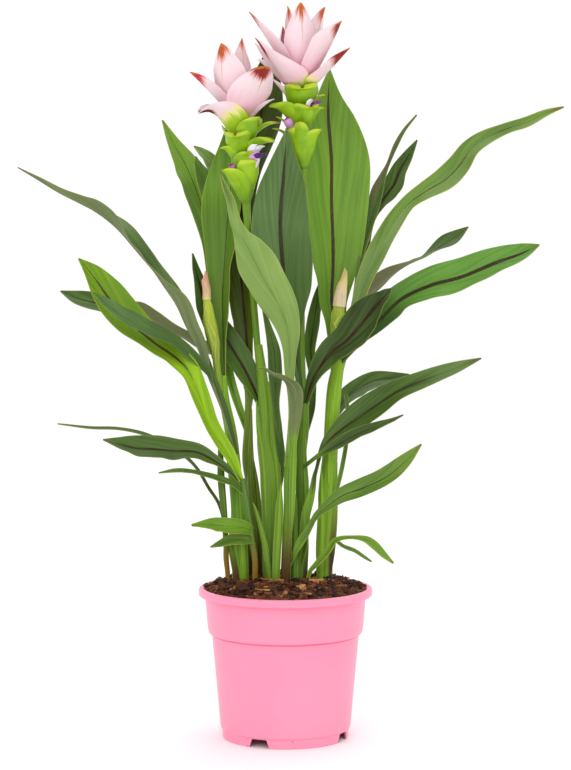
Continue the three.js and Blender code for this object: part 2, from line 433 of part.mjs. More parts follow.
const LEAVES = {
  leaf_centre_front: [leaf, { ...BROAD, fold: 8, rows: 11 }, [
    [1, -8, 188, 2, -170], [4, -12, 224, 2.2, -170], [3, -15, 252, 3.5, -170],
    [3, -20, 269, 5, -170], [2, -24, 282, 8, -170], [-1, -28, 293, 11, -170],
    [-6, -32, 304, 13, -170], [-13, -36, 316, 14, -168], [-19, -39, 328, 14, -166],
    [-24, -42, 338, 10.5, -164], [-29, -44, 346, 6.5, -162], [-33, -46, 355, 4.5, -160],
    [-36, -48, 368, 3, -160], [-40, -50, 378, 1.6, -160], [-43, -50, 386, 0.6, -160],
  ]],
  leaf_centre_folded: [darkLeaf, { ...NARROW, rows: 9 }, [
    [4, -11, 186, 2.7, -175], [5, -16, 207, 3.1, -172], [7, -22, 227, 4.6, -160],
    [7, -30, 242, 6, -140], [1, -36, 250, 6, -115], [-8, -40, 254, 5, -105],
    [-14, -43, 258, 3, -100], [-19, -45, 258, 0.6, -95],
  ]],
  leaf_centre_dark: [darkLeaf, { ...BROAD, fold: 12 }, [
    [12, -2, 228, 2.5, 0], [8, -6, 258, 3, 0], [6, -8, 275, 5, 0], [3, -9, 292, 11, 0],
    [0, -9, 309, 18.5, 0], [-1, -9, 328, 22.5, 0], [-2, -8, 350, 22, 0], [-2, -6, 367, 18.5, 0],
    [-2, -3, 384, 13.5, 0], [-1, 0, 398, 7, 0], [0, 3, 411, 0.6, 0],
  ]],
  leaf_centre_tall: [leaf, { ...BROAD, fold: 20, cup: 10, edgesOnLine: false }, [
    [34, 10, 250, 3, -15], [34, 20, 284, 7.5, -15], [32, 24, 302, 12, -16],
    [33, 28, 322, 17, -17], [33, 31, 343, 22, -18], [32, 34, 371, 27, -18],
    [32, 37, 399, 27, -18], [30, 41, 427, 19, -18], [30, 44, 445, 9.5, -18],
    [31, 48, 463, 0.7, -18],
  ]],
  leaf_behind_left_bloom: [leaf, { ...BROAD, fold: 30, cup: 8, edgesOnLine: false }, [
    [-42, 6, 243, 2.5, 32], [-43, 8, 274, 6.5, 32], [-42, 10, 302, 12, 32],
    [-41, 12, 328, 15.5, 32], [-39, 14, 361, 19, 32], [-37, 15, 385, 18, 32],
    [-34, 16, 412, 10, 32], [-32, 18, 440, 0.7, 32],
  ]],
  leaf_behind_scape: [darkLeaf, BROAD, [
    [-24, 18, 236, 2.5, 20], [-27, 22, 267, 5, 20], [-30, 25, 295, 9, 20],
    [-32, 27, 322, 9.5, 20], [-32, 28, 350, 9.5, 20], [-29, 29, 385, 10.5, 18],
    [-23, 30, 409, 14, 14], [-18, 31, 430, 16.5, 10], [-14, 32, 451, 12, 8],
    [-13, 34, 475, 0.7, 6],
  ]],
  leaf_left_long: [leaf, { fold: 38, cup: 4, rows: 12 }, [
    [-35, -3, 199, 2.4, -100], [-43, -4, 227, 3.2, -100], [-55, -4, 252, 6, -100],
    [-60, -4, 269, 9, -102], [-68, -2, 284, 12, -102], [-75, 0, 299, 12.5, -98],
    [-84, 4, 312, 9.5, -74], [-91, 8, 322, 7.5, -62], [-98, 12, 330, 8.5, -58],
    [-106, 16, 339, 9.5, -62], [-118, 21, 352, 12, -86], [-131, 26, 362, 10.5, -102],
    [-142, 30, 368, 7.5, -106], [-158, 34, 376, 5, -106], [-173, 38, 385, 3, -104],
    [-188, 42, 394, 0.6, -100],
  ]],
  leaf_left_bright: [brightLeaf, { ...BROAD, rows: 10 }, [
    [-30, -12, 179, 3, -60], [-37, -15, 196, 4.8, -50], [-45, -18, 209, 6.8, -46],
    [-51, -20, 221, 7.6, -44], [-58, -25, 241, 7.8, -42], [-65, -29, 257, 8.2, -42],
    [-75, -33, 267, 9, -42], [-87, -38, 276, 11, -40], [-99, -43, 287, 12.3, -38],
    [-110, -48, 298, 13.2, -36], [-118, -52, 309, 12.3, -35], [-126, -55, 320, 8.5, -35],
    [-136, -60, 331, 0.6, -35],
  ]],
  leaf_left_dark: [darkLeaf, { ...NARROW, rows: 8, columns: 4 }, [
    [-44, -4, 237, 2.4, -52], [-51, -12, 252, 3.6, -52], [-63, -26, 266, 5.5, -52],
    [-76, -43, 278, 6, -52], [-89, -56, 285, 7.5, -54], [-98, -62, 290, 8, -54],
    [-107, -68, 295, 6.5, -50], [-116, -73, 302, 4.6, -50], [-125, -76, 309, 0.6, -52],
  ]],
  leaf_left_back: [darkLeaf, { ...NARROW, rows: 8, columns: 4 }, [
    [-26, 18, 222, 2.4, -140], [-25, 24, 238, 3, -140], [-33, 29, 253, 4, -140],
    [-47, 33, 264, 5, -140], [-62, 37, 272, 5, -140], [-77, 41, 280, 5, -140],
    [-92, 45, 289, 6, -140], [-104, 48, 295, 9, -125], [-119, 52, 297, 11.5, -60],
    [-134, 56, 300, 9, -45], [-148, 60, 303, 7, -45], [-161, 65, 307, 0.6, -45],
  ]],
  leaf_left_upright: [darkLeaf, { ...NARROW, columns: 4 }, [
    [-17, 11, 228, 2, -20], [-21, 11, 240, 5, -20], [-27, 11, 253, 8.5, -20],
    [-34, 12, 265, 9.5, -20], [-41, 14, 276, 9, -22], [-49, 18, 286, 9, -26],
    [-55, 21, 297, 8, -30], [-58, 25, 309, 6, -34], [-62, 30, 322, 3.5, -38],
    [-65, 34, 334, 0.6, -40],
  ]],
  leaf_left_whip: [leaf, { ...NARROW, rows: 8 }, [
    [-42, -12, 152, 1.8, -55], [-46, -6, 163, 1.7, -55], [-53, 0, 173, 1.7, -55],
    [-60, 6, 184, 1.7, -55], [-69, 12, 193, 1.8, -55], [-82, 18, 201, 1.9, -55],
    [-99, 26, 208, 1.9, -55], [-118, 34, 211, 1.7, -55], [-138, 42, 211, 1.5, -55],
    [-162, 50, 213, 0.5, -55],
  ]],
  leaf_left_low: [leaf, { ...NARROW, columns: 4 }, [
    [-29, -11, 176, 2, -50], [-37, -18, 186, 3, -50], [-48, -26, 195, 5, -50],
    [-60, -34, 202, 7.5, -50], [-74, -42, 204, 10, -50], [-87, -49, 206, 10.8, -50],
    [-99, -55, 207, 9.5, -50], [-108, -60, 209, 6, -50], [-120, -66, 212, 0.6, -50],
  ]],
  leaf_left_sliver: [darkLeaf, NARROW, [
    [-28, -10, 170, 2, -50], [-35, -15, 177, 2.6, -50], [-44, -19, 181, 3, -50],
    [-54, -18, 184, 2.4, -50], [-66, -14, 186, 2, -50], [-76, -11, 186, 2, -50],
    [-87, -8, 184, 0.5, -50],
  ]],
  leaf_left_short: [leaf, NARROW, [
    [-22, -7, 143, 2.8, -35], [-27, -14, 147, 5, -35], [-34, -21, 149, 6, -35],
    [-46, -28, 151, 5.5, -35], [-54, -34, 152, 3.4, -35], [-63, -40, 152, 0.8, -35],
  ]],
  leaf_left_lowest: [darkLeaf, NARROW, [
    [-21, -6, 137, 2.4, -40], [-29, -12, 139, 4.5, -40], [-37, -16, 139, 4.5, -40],
    [-44, -20, 137, 3, -40], [-51, -24, 135, 0.6, -40],
  ]],
  leaf_upper_left: [leaf, { ...BROAD, columns: 2 }, [
    [-27, 18, 212, 2.4, -30], [-37, 21, 242, 3, -30], [-43, 24, 272, 4, -30],
    [-48, 30, 308, 5.6, -30], [-51, 38, 343, 9.3, -30], [-59, 47, 371, 11.6, -30],
    [-65, 53, 387, 11.5, -30], [-71, 60, 399, 9, -30], [-79, 65, 412, 6, -30],
    [-88, 72, 429, 0.6, -30],
  ]],
  leaf_upper_left_back: [darkLeaf, NARROW, [
    [-27, 19, 240, 2.2, -35], [-34, 28, 282, 2.6, -35], [-37, 33, 324, 3.5, -35],
    [-38, 36, 361, 6, -35], [-45, 44, 385, 7.5, -35],
    [-52, 50, 399, 6, -35], [-59, 56, 406, 3.5, -35], [-65, 62, 410, 0.7, -35],
  ]],
  leaf_upper_left_tip: [darkLeaf, NARROW, [
    [-42, 6, 234, 2, -30], [-45, 15, 262, 2.4, -30], [-44, 21, 300, 3.5, -30],
    [-46, 30, 343, 5, -30], [-52, 34, 371, 7.5, -30],
    [-57, 36, 387, 6.5, -30], [-61, 38, 396, 3.4, -30], [-63, 40, 402, 0.6, -30],
  ]],
  leaf_centre_hidden: [darkLeaf, NARROW, [
    [-6, 5, 166, 2.4, 10], [-3, 1, 190, 3, 10], [-5, -2, 212, 3, 10], [-7, -4, 233, 3, 10],
    [-7, -8, 251, 5, 10], [-8, -10, 268, 4.5, 10], [-12, -12, 285, 2.4, 10], [-16, -14, 299, 0.5, 10],
  ]],
  leaf_right_hidden: [darkLeaf, NARROW, [
    [13, 1, 208, 2, 30], [18, 11, 226, 2.5, 30], [19, 20, 247, 3, 30], [17, 22, 267, 4.6, 30],
    [19, 24, 285, 5.4, 30], [22, 25, 302, 4, 30], [25, 26, 317, 0.5, 30],
  ]],
  leaf_right_long: [leaf, { ...BROAD, rows: 11 }, [
    [39, 9, 262, 2.4, 30], [42, 6, 274, 3.2, 30], [48, 4, 295, 4.8, 30], [54, 2, 316, 6.2, 30],
    [61, 0, 332, 7.3, 30], [68, -2, 346, 7.4, 30], [75, -4, 358, 7.2, 30],
    [84, -6, 369, 6.7, 30], [95, -8, 377, 7.3, 30], [108, -10, 385, 8.9, 30],
    [117, -11, 394, 8.6, 30], [125, -12, 405, 7.8, 30], [136, -13, 413, 6.6, 30],
    [150, -13, 419, 4.7, 30], [163, -14, 423, 3.9, 30], [176, -14, 429, 2.3, 30],
    [188, -14, 433, 0.6, 30],
  ]],
  leaf_right_twisted: [darkLeaf, { ...NARROW, rows: 9 }, [
    [36, 10, 252, 2, 30], [41, 11, 268, 1.6, 25], [47, 15, 298, 1.6, 20], [52, 25, 328, 2.1, 20],
    [57, 33, 348, 3, 20], [61, 36, 364, 4.2, 20], [64, 37, 377, 4.8, 20],
    [68, 38, 388, 2.6, 20], [72, 39, 397, 1.3, 20], [77, 40, 409, 1.8, 20],
    [83, 42, 420, 1.3, 20], [92, 44, 431, 0.6, 20],
  ]],
  leaf_right_behind: [darkLeaf, { ...BROAD, columns: 2 }, [
    [37, 9, 254, 2.2, 35], [42, 15, 268, 2, 35], [48, 21, 295, 2, 35], [55, 34, 328, 2.6, 35],
    [61, 43, 356, 2.8, 35], [66, 45, 369, 5.5, 35], [72, 47, 378, 8.6, 35],
    [76, 48, 384, 9, 35], [80, 50, 393, 7.2, 35], [85, 51, 401, 4.6, 35], [93, 53, 414, 0.6, 35],
  ]],
  leaf_right_spoon: [leaf, { ...BROAD, rows: 10 }, [
    [34, 9, 236, 2.4, 130], [38, 15, 254, 2.8, 130], [42, 23, 270, 3.4, 130],
    [46, 31, 284, 4.9, 130], [51, 36, 296, 6.4, 131], [57, 42, 307, 7.6, 132],
    [65, 47, 314, 7.1, 134], [75, 53, 321, 6.7, 124], [86, 59, 327, 5.4, 108],
    [94, 64, 330, 4, 92], [100, 67, 333, 5, 75], [109, 72, 339, 6.3, 55],
    [116, 76, 343, 7, 48], [123, 80, 347, 5.2, 48], [132, 84, 353, 0.6, 48],
  ]],
  leaf_right_broad: [leaf, { ...BROAD, rows: 10 }, [
    [38, 4, 260, 3, 40], [49, -8, 275, 5.5, 40], [63, -18, 290, 9, 40], [77, -28, 305, 12, 40],
    [96, -42, 315, 13.4, 40], [116, -55, 321, 13.3, 40], [137, -68, 330, 11.6, 40],
    [152, -78, 335, 7, 40], [164, -84, 340, 0.6, 40],
  ]],
  leaf_right_dark: [darkLeaf, BROAD, [
    [13, -5, 232, 3.2, 36], [19, -13, 251, 6, 36], [29, -21, 267, 9.6, 36],
    [40, -29, 277, 12.9, 36], [50, -36, 289, 13.6, 36], [58, -43, 299, 10.3, 36],
    [65, -48, 306, 4.8, 36], [70, -52, 311, 0.6, 36],
  ]],
  leaf_right_back: [leaf, NARROW, [
    [34, 12, 222, 3.4, 35], [41, 24, 233, 6.5, 35], [51, 34, 240, 7.5, 35],
    [63, 45, 245, 7, 35], [76, 55, 246, 5, 35], [89, 65, 247, 0.9, 35],
  ]],
  leaf_right_middle: [darkLeaf, { ...BROAD, rows: 11 }, [
    [10, -1, 119, 1.8, 20], [12, -4, 132, 3.2, 20], [13, -5, 144, 3.6, 20],
    [14, -6, 155, 3.2, 20], [17, -7, 166, 2.7, 20], [19, -7, 176, 2.1, 22],
    [21, -6, 186, 1.8, 25], [26, -6, 202, 2.9, 32], [36, -7, 213, 7, 38],
    [50, -9, 224, 11, 38], [63, -9, 233, 11.5, 38], [78, -7, 242, 9, 40],
    [99, -3, 250, 7, 42], [117, 2, 256, 4.5, 42], [135, 6, 262, 0.6, 42],
  ]],
  leaf_right_slim: [darkLeaf, NARROW, [
    [12, -2, 187, 1.8, 45], [22, -11, 196, 2, 45], [34, -16, 204, 4.5, 45],
    [47, -22, 212, 5, 45], [61, -28, 218, 3.6, 45], [71, -32, 222, 1.9, 45],
    [79, -36, 226, 0.5, 45],
  ]],
  leaf_right_petiole: [leaf, NARROW, [
    [30, 3, 152, 1.4, 0], [33, 1, 164, 1.4, 0], [37, 0, 178, 1.5, 0], [40, 1, 192, 1.5, 0],
    [42, 3, 204, 1.4, 0], [43, 9, 216, 1.4, 0], [43, 15, 227, 1.4, 0], [42, 21, 236, 1.4, 0],
  ]],
  leaf_right_low: [leaf, { ...BROAD, rows: 9 }, [
    [2, -6, 117, 1.4, 38], [5, -9, 126, 2.3, 38], [9, -12, 135, 2.8, 38],
    [14, -15, 143, 2.8, 38], [19, -18, 153, 2.9, 38], [25, -20, 160, 3.5, 38],
    [38, -27, 171, 5.5, 38], [51, -34, 177, 7.8, 38],
    [66, -42, 185, 7.6, 38], [79, -49, 196, 5, 38], [90, -56, 208, 0.6, 38],
  ]],
  leaf_right_drooping: [leaf, { ...NARROW, rows: 9 }, [
    [14, -6, STEM_FOOT + 10, 1.5, 50], [16, -7, 114, 1.8, 50], [20, -9, 120, 2.5, 50],
    [26, -11, 127, 3, 50], [31, -13, 134, 3, 50], [35, -15, 139, 2.4, 50],
    [45, -18, 141, 1.7, 50], [55, -22, 140, 3.4, 50],
    [61, -25, 136, 4.2, 50], [67, -28, 130, 3.2, 50], [73, -31, 125, 0.9, 50],
  ]],
  leaf_right_drooping_slim: [leaf, NARROW, [
    [35, -16, 138, 1.6, 50], [40, -21, 135, 1.8, 50], [47, -27, 133, 1.8, 50],
    [54, -33, 129, 1.5, 50], [58, -37, 127, 0.6, 50],
  ]],
};

for (const [name, [look, shape, stations]] of Object.entries(LEAVES)) {
  addPiece(name, look, (grown) => blade(stations, shape, grown));
}

// The pot: a thin moulded shell with a rolled lip, a wide band, a shoulder that nests on the
// next pot, a tapering wall and a foot skirt with drain notches under a raised floor.

function lathe(profile, sides) {
  const points = profile.map(([radius, height]) => new THREE.Vector2(radius, height));
  return new THREE.LatheGeometry(points, sides).rotateX(Math.PI / 2);
}

function potShell() {
  const lipFoot = POT_HEIGHT - LIP_HEIGHT;
  const outer = [
    [SKIRT_RADIUS, 0], [SKIRT_RADIUS + 0.2, SKIRT_HEIGHT],
    [WALL_BOTTOM_RADIUS, SKIRT_HEIGHT + 1.5], [WALL_TOP_RADIUS, SHOULDER_HEIGHT - 1],
    [BAND_BOTTOM_RADIUS - 0.6, SHOULDER_HEIGHT + 0.6], [BAND_BOTTOM_RADIUS, SHOULDER_HEIGHT + 3.5],
    [BAND_TOP_RADIUS, lipFoot], [RIM_RADIUS - 0.6, lipFoot], [RIM_RADIUS, lipFoot + 0.8],
    [RIM_RADIUS, POT_HEIGHT - 1.1], [RIM_RADIUS - 0.9, POT_HEIGHT],
    [RIM_RADIUS - LIP_WIDTH, POT_HEIGHT - 0.5],
  ];
  const inner = [
    [BAND_TOP_RADIUS - POT_WALL, lipFoot - 1.5],
    [BAND_BOTTOM_RADIUS - POT_WALL, SHOULDER_HEIGHT + 3.5],
    [WALL_TOP_RADIUS - POT_WALL, SHOULDER_HEIGHT - 1.2],
    [WALL_BOTTOM_RADIUS - POT_WALL, FLOOR_TOP],
  ];
  const floorUnder = FLOOR_TOP - POT_WALL - 0.4;
  const profile = [
    [0, floorUnder], [SKIRT_RADIUS - POT_WALL, floorUnder], [SKIRT_RADIUS - POT_WALL, 0],
    ...outer, ...inner, [0, FLOOR_TOP],
  ];
  return solidFrom(lathe(profile, POT_SIDES));
}

function notchCutter(turn) {
  const outline = new THREE.Shape([
    new THREE.Vector2(-NOTCH_WIDTH / 2, -1), new THREE.Vector2(NOTCH_WIDTH / 2, -1),
    new THREE.Vector2(NOTCH_WIDTH / 2 - 0.8, 1.2), new THREE.Vector2(NOTCH_WIDTH / 2 - 1.8, NOTCH_HEIGHT),
    new THREE.Vector2(1.8 - NOTCH_WIDTH / 2, NOTCH_HEIGHT), new THREE.Vector2(0.8 - NOTCH_WIDTH / 2, 1.2),
  ]);
  const cutter = new THREE.ExtrudeGeometry(outline, { depth: 20, bevelEnabled: false });
  cutter.rotateX(Math.PI / 2);
  cutter.translate(0, 10 - SKIRT_RADIUS, 0);
  cutter.rotateZ(degrees(turn));
  return solidFrom(cutter);
}

function drainHoleCutter(turn, ring) {
  const cutter = new THREE.CylinderGeometry(DRAIN_HOLE_RADIUS, DRAIN_HOLE_RADIUS, 10, 12);
  cutter.rotateX(Math.PI / 2);
  cutter.translate(0, -ring, FLOOR_TOP);
  cutter.rotateZ(degrees(turn));
  return solidFrom(cutter);
}

let pot = potShell();
for (let i = 0; i < NOTCH_COUNT; i++) {
  const turn = FIRST_NOTCH_TURN + (360 / NOTCH_COUNT) * i;
  pot = pot.subtract(notchCutter(turn));
  pot = pot.subtract(drainHoleCutter(turn, DRAIN_HOLE_RING));
}
pot = pot.subtract(drainHoleCutter(0, 0));

// The soil: one block that fills the pot, lumpy on top, with a plain hole for each shoot.

const SOIL_RINGS = 3;

function soilHeight(x, y) {
  const radius = Math.hypot(x, y) / BAND_TOP_RADIUS;
  const lumps = Math.sin(x * 0.61 + 1.3) * Math.cos(y * 0.53 + 0.4)
    + 0.7 * Math.sin(x * 0.23 - y * 0.37 + 2.1) + 0.5 * Math.cos(x * 0.9 + y * 0.71);
  return SOIL_HEIGHT + SOIL_MOUND * (1 - radius ** 4) + (SOIL_ROUGHNESS * lumps) / 2;
}

function soilBlock() {
  const wallGap = POT_WALL + CLEARANCE;
  const topRadius = BAND_TOP_RADIUS - POT_WALL;
  const levels = [
    [WALL_BOTTOM_RADIUS - wallGap, FLOOR_TOP + CLEARANCE],
    [WALL_TOP_RADIUS - wallGap, SHOULDER_HEIGHT - 1.2],
    [BAND_TOP_RADIUS - wallGap, POT_HEIGHT - LIP_HEIGHT - 1.5],
  ];
  const positions = [0, 0, FLOOR_TOP + CLEARANCE];
  const addRing = (radius, heightAt) => {
    for (let i = 0; i < POT_SIDES; i++) {
      const angle = (2 * Math.PI * i) / POT_SIDES;
      const x = radius * Math.cos(angle);
      const y = radius * Math.sin(angle);
      positions.push(x, y, heightAt(x, y));
    }
  };
  for (const [radius, height] of levels) addRing(radius, () => height);
  for (let ring = SOIL_RINGS; ring > 0; ring--) addRing((topRadius * ring) / SOIL_RINGS, soilHeight);
  positions.push(0, 0, soilHeight(0, 0));
  const faces = [];
  const rings = levels.length + SOIL_RINGS;
  const at = (ring, i) => 1 + ring * POT_SIDES + (i % POT_SIDES);
  const last = 1 + rings * POT_SIDES;
  for (let i = 0; i < POT_SIDES; i++) {
    faces.push(0, at(0, i + 1), at(0, i));
    for (let ring = 0; ring < rings - 1; ring++) {
      faces.push(at(ring, i), at(ring, i + 1), at(ring + 1, i + 1));
      faces.push(at(ring, i), at(ring + 1, i + 1), at(ring + 1, i));
    }
    faces.push(at(rings - 1, i), at(rings - 1, i + 1), last);
  }
  const geometry = new THREE.BufferGeometry();
  geometry.setAttribute("position", new THREE.Float32BufferAttribute(positions, 3));
  geometry.setIndex(faces);
  return solidFrom(geometry);
}

const potMesh = new THREE.Mesh(geometryFrom(pot), MATERIALS.pot);
potMesh.name = "pot";
addPiece("soil", MATERIALS.soil, soilBlock);

const pottedPlant = new THREE.Group();
pottedPlant.add(potMesh, plant);
export default pottedPlant;
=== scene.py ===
# %% [markdown]
# A potted siam tulip: a pink nursery pot filled with bark and peat, a clump of leafy shoots,
# two flower spikes and two young buds. The imported model holds every part at its real size and
# place, as plain faceted solids. This lesson dresses it: each solid gives way to a finer piece
# of the same form, and then come the finishes, the light and the camera. Lengths in the tables
# are in millimetres, as in the model's own source, and Blender works in metres.

# %% Load the imported model
import math
import random
import bpy
import numpy as np
from mathutils import Matrix, Vector, noise


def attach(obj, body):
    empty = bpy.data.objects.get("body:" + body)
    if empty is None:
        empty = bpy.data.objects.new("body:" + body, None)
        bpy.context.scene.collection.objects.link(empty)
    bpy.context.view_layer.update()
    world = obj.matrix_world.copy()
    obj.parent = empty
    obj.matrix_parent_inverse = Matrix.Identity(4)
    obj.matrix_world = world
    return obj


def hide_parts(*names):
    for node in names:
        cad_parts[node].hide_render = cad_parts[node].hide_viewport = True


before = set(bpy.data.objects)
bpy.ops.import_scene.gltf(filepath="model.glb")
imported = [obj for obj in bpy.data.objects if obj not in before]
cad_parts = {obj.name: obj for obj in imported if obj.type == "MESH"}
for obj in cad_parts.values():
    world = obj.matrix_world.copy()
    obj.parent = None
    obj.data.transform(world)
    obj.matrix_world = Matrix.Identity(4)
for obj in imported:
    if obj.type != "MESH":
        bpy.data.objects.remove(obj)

MM = 0.001
bpy.context.view_layer.update()

# %% [markdown]
# The photograph looks almost straight at the plant, from a little above the middle of its
# leaves. A camera can be placed by trial, or worked out. Here it was worked out: the rim of the
# pot shows as a flat ellipse, and its height against its width gives the tilt, while the pot's
# known width gives the distance. The standard view transform keeps the white of the paper
# background white.

# %% Camera at the photograph's viewing angle
CAMERA_PLACE = Vector((0, -1500, 340)) * MM
CAMERA_TILT_DOWN = 3.67
FOCAL_LENGTH_PX = 2186.5
PICTURE_LONG_SIDE_PX = 770
SENSOR_MM = 36
FARTHEST_SEEN_M = 20

camera_data = bpy.data.cameras.new("camera")
camera_data.sensor_width = SENSOR_MM
camera_data.lens = FOCAL_LENGTH_PX / PICTURE_LONG_SIDE_PX * SENSOR_MM
camera_data.clip_end = FARTHEST_SEEN_M
camera = bpy.data.objects.new("camera", camera_data)
bpy.context.scene.collection.objects.link(camera)
camera.location = CAMERA_PLACE
camera.rotation_euler = (math.radians(90 - CAMERA_TILT_DOWN), 0, 0)
bpy.context.scene.camera = camera
bpy.context.scene.view_settings.view_transform = "Standard"
print("Camera lens in mm:", round(camera_data.lens, 1))

# %% [markdown]
# A studio lights such a plant with large soft lamps on a white sweep. Small lamps would draw
# hard shadows between the leaves, so the lamps here are wide panels, and an even white world
# fills in what they miss. The floor is a wide pale disc.

# %% Floor, world and lamps
FLOOR_RADIUS = 6


def lamp(name, place, aim, size, power):
    """A square soft panel that looks at a point."""
    data = bpy.data.lights.new(name, "AREA")
    data.size = size
    data.energy = power
    panel = bpy.data.objects.new(name, data)
    bpy.context.scene.collection.objects.link(panel)
    panel.location = place
    panel.rotation_euler = (Vector(aim) - Vector(place)).to_track_quat("-Z", "Y").to_euler()


lamp("key_panel", (-0.6, -2.0, 1.3), (0, 0, 0.28), 1.2, 11)
lamp("fill_panel", (1.2, -1.8, 0.6), (0, 0, 0.2), 1.0, 2.5)
lamp("top_panel", (0.3, 0.9, 1.6), (0, 0, 0.35), 1.2, 5)

WORLD_STRENGTH = 1.05
world = bpy.data.worlds.new("white_room")
world.use_nodes = True
world.node_tree.nodes["Background"].inputs["Color"].default_value = (1, 1, 1, 1)
world.node_tree.nodes["Background"].inputs["Strength"].default_value = WORLD_STRENGTH
bpy.context.scene.world = world


def deselect():
    """An operator acts on all that is selected, so each piece starts with nothing selected."""
    bpy.ops.object.select_all(action="DESELECT")


deselect()
bpy.ops.mesh.primitive_circle_add(vertices=96, radius=FLOOR_RADIUS, fill_type="NGON")
floor = bpy.context.object
floor.name = "floor"
print("Lamps and floor are in place")

# %% [markdown]
# A finish is a small tree of nodes. Written node by node it hides its own idea, so one class
# wraps a socket and lets plain sums on values add the nodes: value * 2 + 1 adds two Math nodes.
# Colours go through Mix nodes, because a Math node turns a colour grey.

# %% Sums on sockets, and a class that holds one finish
MIX_FACTOR, MIX_A, MIX_B, MIX_RESULT = 0, 6, 7, 2


class Value:
    """A number that varies over a surface."""

    def __init__(self, finish, socket):
        self.finish = finish
        self.socket = socket

    def math(self, operation, first, second=0.0):
        return self.finish.node("Math", {"operation": operation}, {0: first, 1: second})

    def __add__(self, other):
        return self.math("ADD", self, other)

    def __sub__(self, other):
        return self.math("SUBTRACT", self, other)

    def __rsub__(self, other):
        return self.math("SUBTRACT", other, self)

    def __mul__(self, other):
        return self.math("MULTIPLY", self, other)

    __radd__ = __add__
    __rmul__ = __mul__

    def __abs__(self):
        return self.math("ABSOLUTE", self)

    def step(self, low, high):
        """Rises smoothly from 0 at low to 1 at high."""
        settings = {"interpolation_type": "SMOOTHSTEP"}
        return self.finish.node("MapRange", settings, {0: self, 1: low, 2: high})


class Finish:
    """One material. What is the same all over is set on the shader's own sockets."""

    def __init__(self, name, **constants):
        self.material = bpy.data.materials.new(name)
        self.material.use_nodes = True
        self.tree = self.material.node_tree
        self.shader = self.tree.nodes["Principled BSDF"]
        for socket, value in constants.items():
            self.shader.inputs[socket.replace("_", " ")].default_value = value

    def feed(self, socket, value):
        if isinstance(value, Value):
            self.tree.links.new(value.socket, socket)
        else:
            socket.default_value = value

    def node(self, kind, settings=(), sockets=(), out=0):
        """Adds a node: its kind, its settings, and the values or links of its sockets."""
        made = self.tree.nodes.new("ShaderNode" + kind)
        for key, value in dict(settings).items():
            setattr(made, key, value)
        for key, value in dict(sockets).items():
            self.feed(made.inputs[key], value)
        return Value(self, made.outputs[out])

    def attribute(self, name):
        return self.node("Attribute", {"attribute_name": name}, out="Fac")

    def place(self):
        return self.node("TexCoord", out="Object")

    def height(self):
        return self.node("SeparateXYZ", sockets={0: self.place()}, out="Z")

    def around(self):
        """How far round a rolled grid a point lies, from 0 to 1, as the grid's own UV map says."""
        uv = self.node("UVMap", {"uv_map": "UVMap"}, out="UV")
        return self.node("SeparateXYZ", sockets={0: uv}, out="X")

    def noise(self, scale, detail=2.0, vector=None):
        """Cloudy noise from 0 to 1. Without a vector the scale is in features per metre."""
        sockets = {"Vector": vector or self.place(), "Scale": scale, "Detail": detail}
        return self.node("TexNoise", sockets=sockets)

    def vector(self, x, y, z=0.0):
        return self.node("CombineXYZ", sockets={0: x, 1: y, 2: z})

    def mix(self, factor, a, b):
        return self.node(
            "Mix", {"data_type": "RGBA"}, {MIX_FACTOR: factor, MIX_A: a, MIX_B: b}, MIX_RESULT
        )

    def end(self, colour, roughness=None, height=None, relief_mm=0.1):
        """Feeds the shader: its colour, its roughness and its relief, in millimetres."""
        self.feed(self.shader.inputs["Base Color"], colour)
        if roughness is not None:
            self.feed(self.shader.inputs["Roughness"], roughness)
        if height is not None:
            bump = self.node("Bump", {}, {"Distance": relief_mm * MM, "Height": height})
            self.feed(self.shader.inputs["Normal"], bump)
        return self.material


def srgb(red, green, blue):
    """A colour as a screen shows it, from 0 to 255, turned into the light it stands for."""
    shares = [c / 255 for c in (red, green, blue)]
    linear = [c / 12.92 if c <= 0.04045 else ((c + 0.055) / 1.055) ** 2.4 for c in shares]
    return (*linear, 1.0)


floor_look = Finish("floor_paper", Roughness=0.9)
floor.data.materials.append(
    floor_look.end(floor_look.mix(floor_look.noise(3), srgb(251, 251, 251), srgb(250, 250, 250)))
)
print("Finish and Value are ready")

# %% [markdown]
# Leaves, bracts and stems all follow a line. On the real plant a leaf is one thin sheet that
# folds a little along its midrib, so a grid primitive is laid along a smooth line through given
# stations. Bending a plane by proportional editing would give a leaf too, but not one that keeps
# the form of the imported solid, which was made from the same stations.

# %% A smooth line through stations, and the directions along it
def line_through(stations, t):
    """Places and headings at the shares t of a smooth line through the stations."""
    points = np.asarray(stations, float)
    ends = 2 * points[:1] - points[1:2], 2 * points[-1:] - points[-2:-1]
    padded = np.vstack([ends[0], points, ends[1]])
    spans = len(points) - 1
    span = np.minimum((t * spans).astype(int), spans - 1)
    w = (t * spans - span)[:, None]
    before, start, end, after = (padded[span + k] for k in range(4))
    leave, arrive = (end - before) / 2, (after - start) / 2
    square = 3 * (end - start) - 2 * leave - arrive
    cube = 2 * (start - end) + leave + arrive
    place = start + leave * w + square * w**2 + cube * w**3
    heading = leave + 2 * square * w + 3 * cube * w**2
    return place, heading


def unit(vectors):
    return vectors / np.maximum(np.linalg.norm(vectors, axis=-1, keepdims=True), 1e-9)


def directions(heading, turn, flat=None):
    """The side that a blade's width lies along, and the normal of its upper face. With no
    turn the upper face looks at the viewer. flat is given where a line may run to the viewer."""
    along = unit(heading)
    if flat is None:
        flat = unit(np.cross((0.0, 1.0, 0.0), along))
    to_viewer = np.cross(flat, along)
    turn = np.radians(turn)[:, None]
    side = flat * np.cos(turn) + to_viewer * np.sin(turn)
    return side, np.cross(side, along)


sample_end = line_through([[0, 0], [1, 1], [3, 1]], np.ones(1))[0]
print("A line through three stations ends at", sample_end)

# %% Grid primitives, the values kept on their points, and closing a piece
MERGE_DISTANCE = 0.01


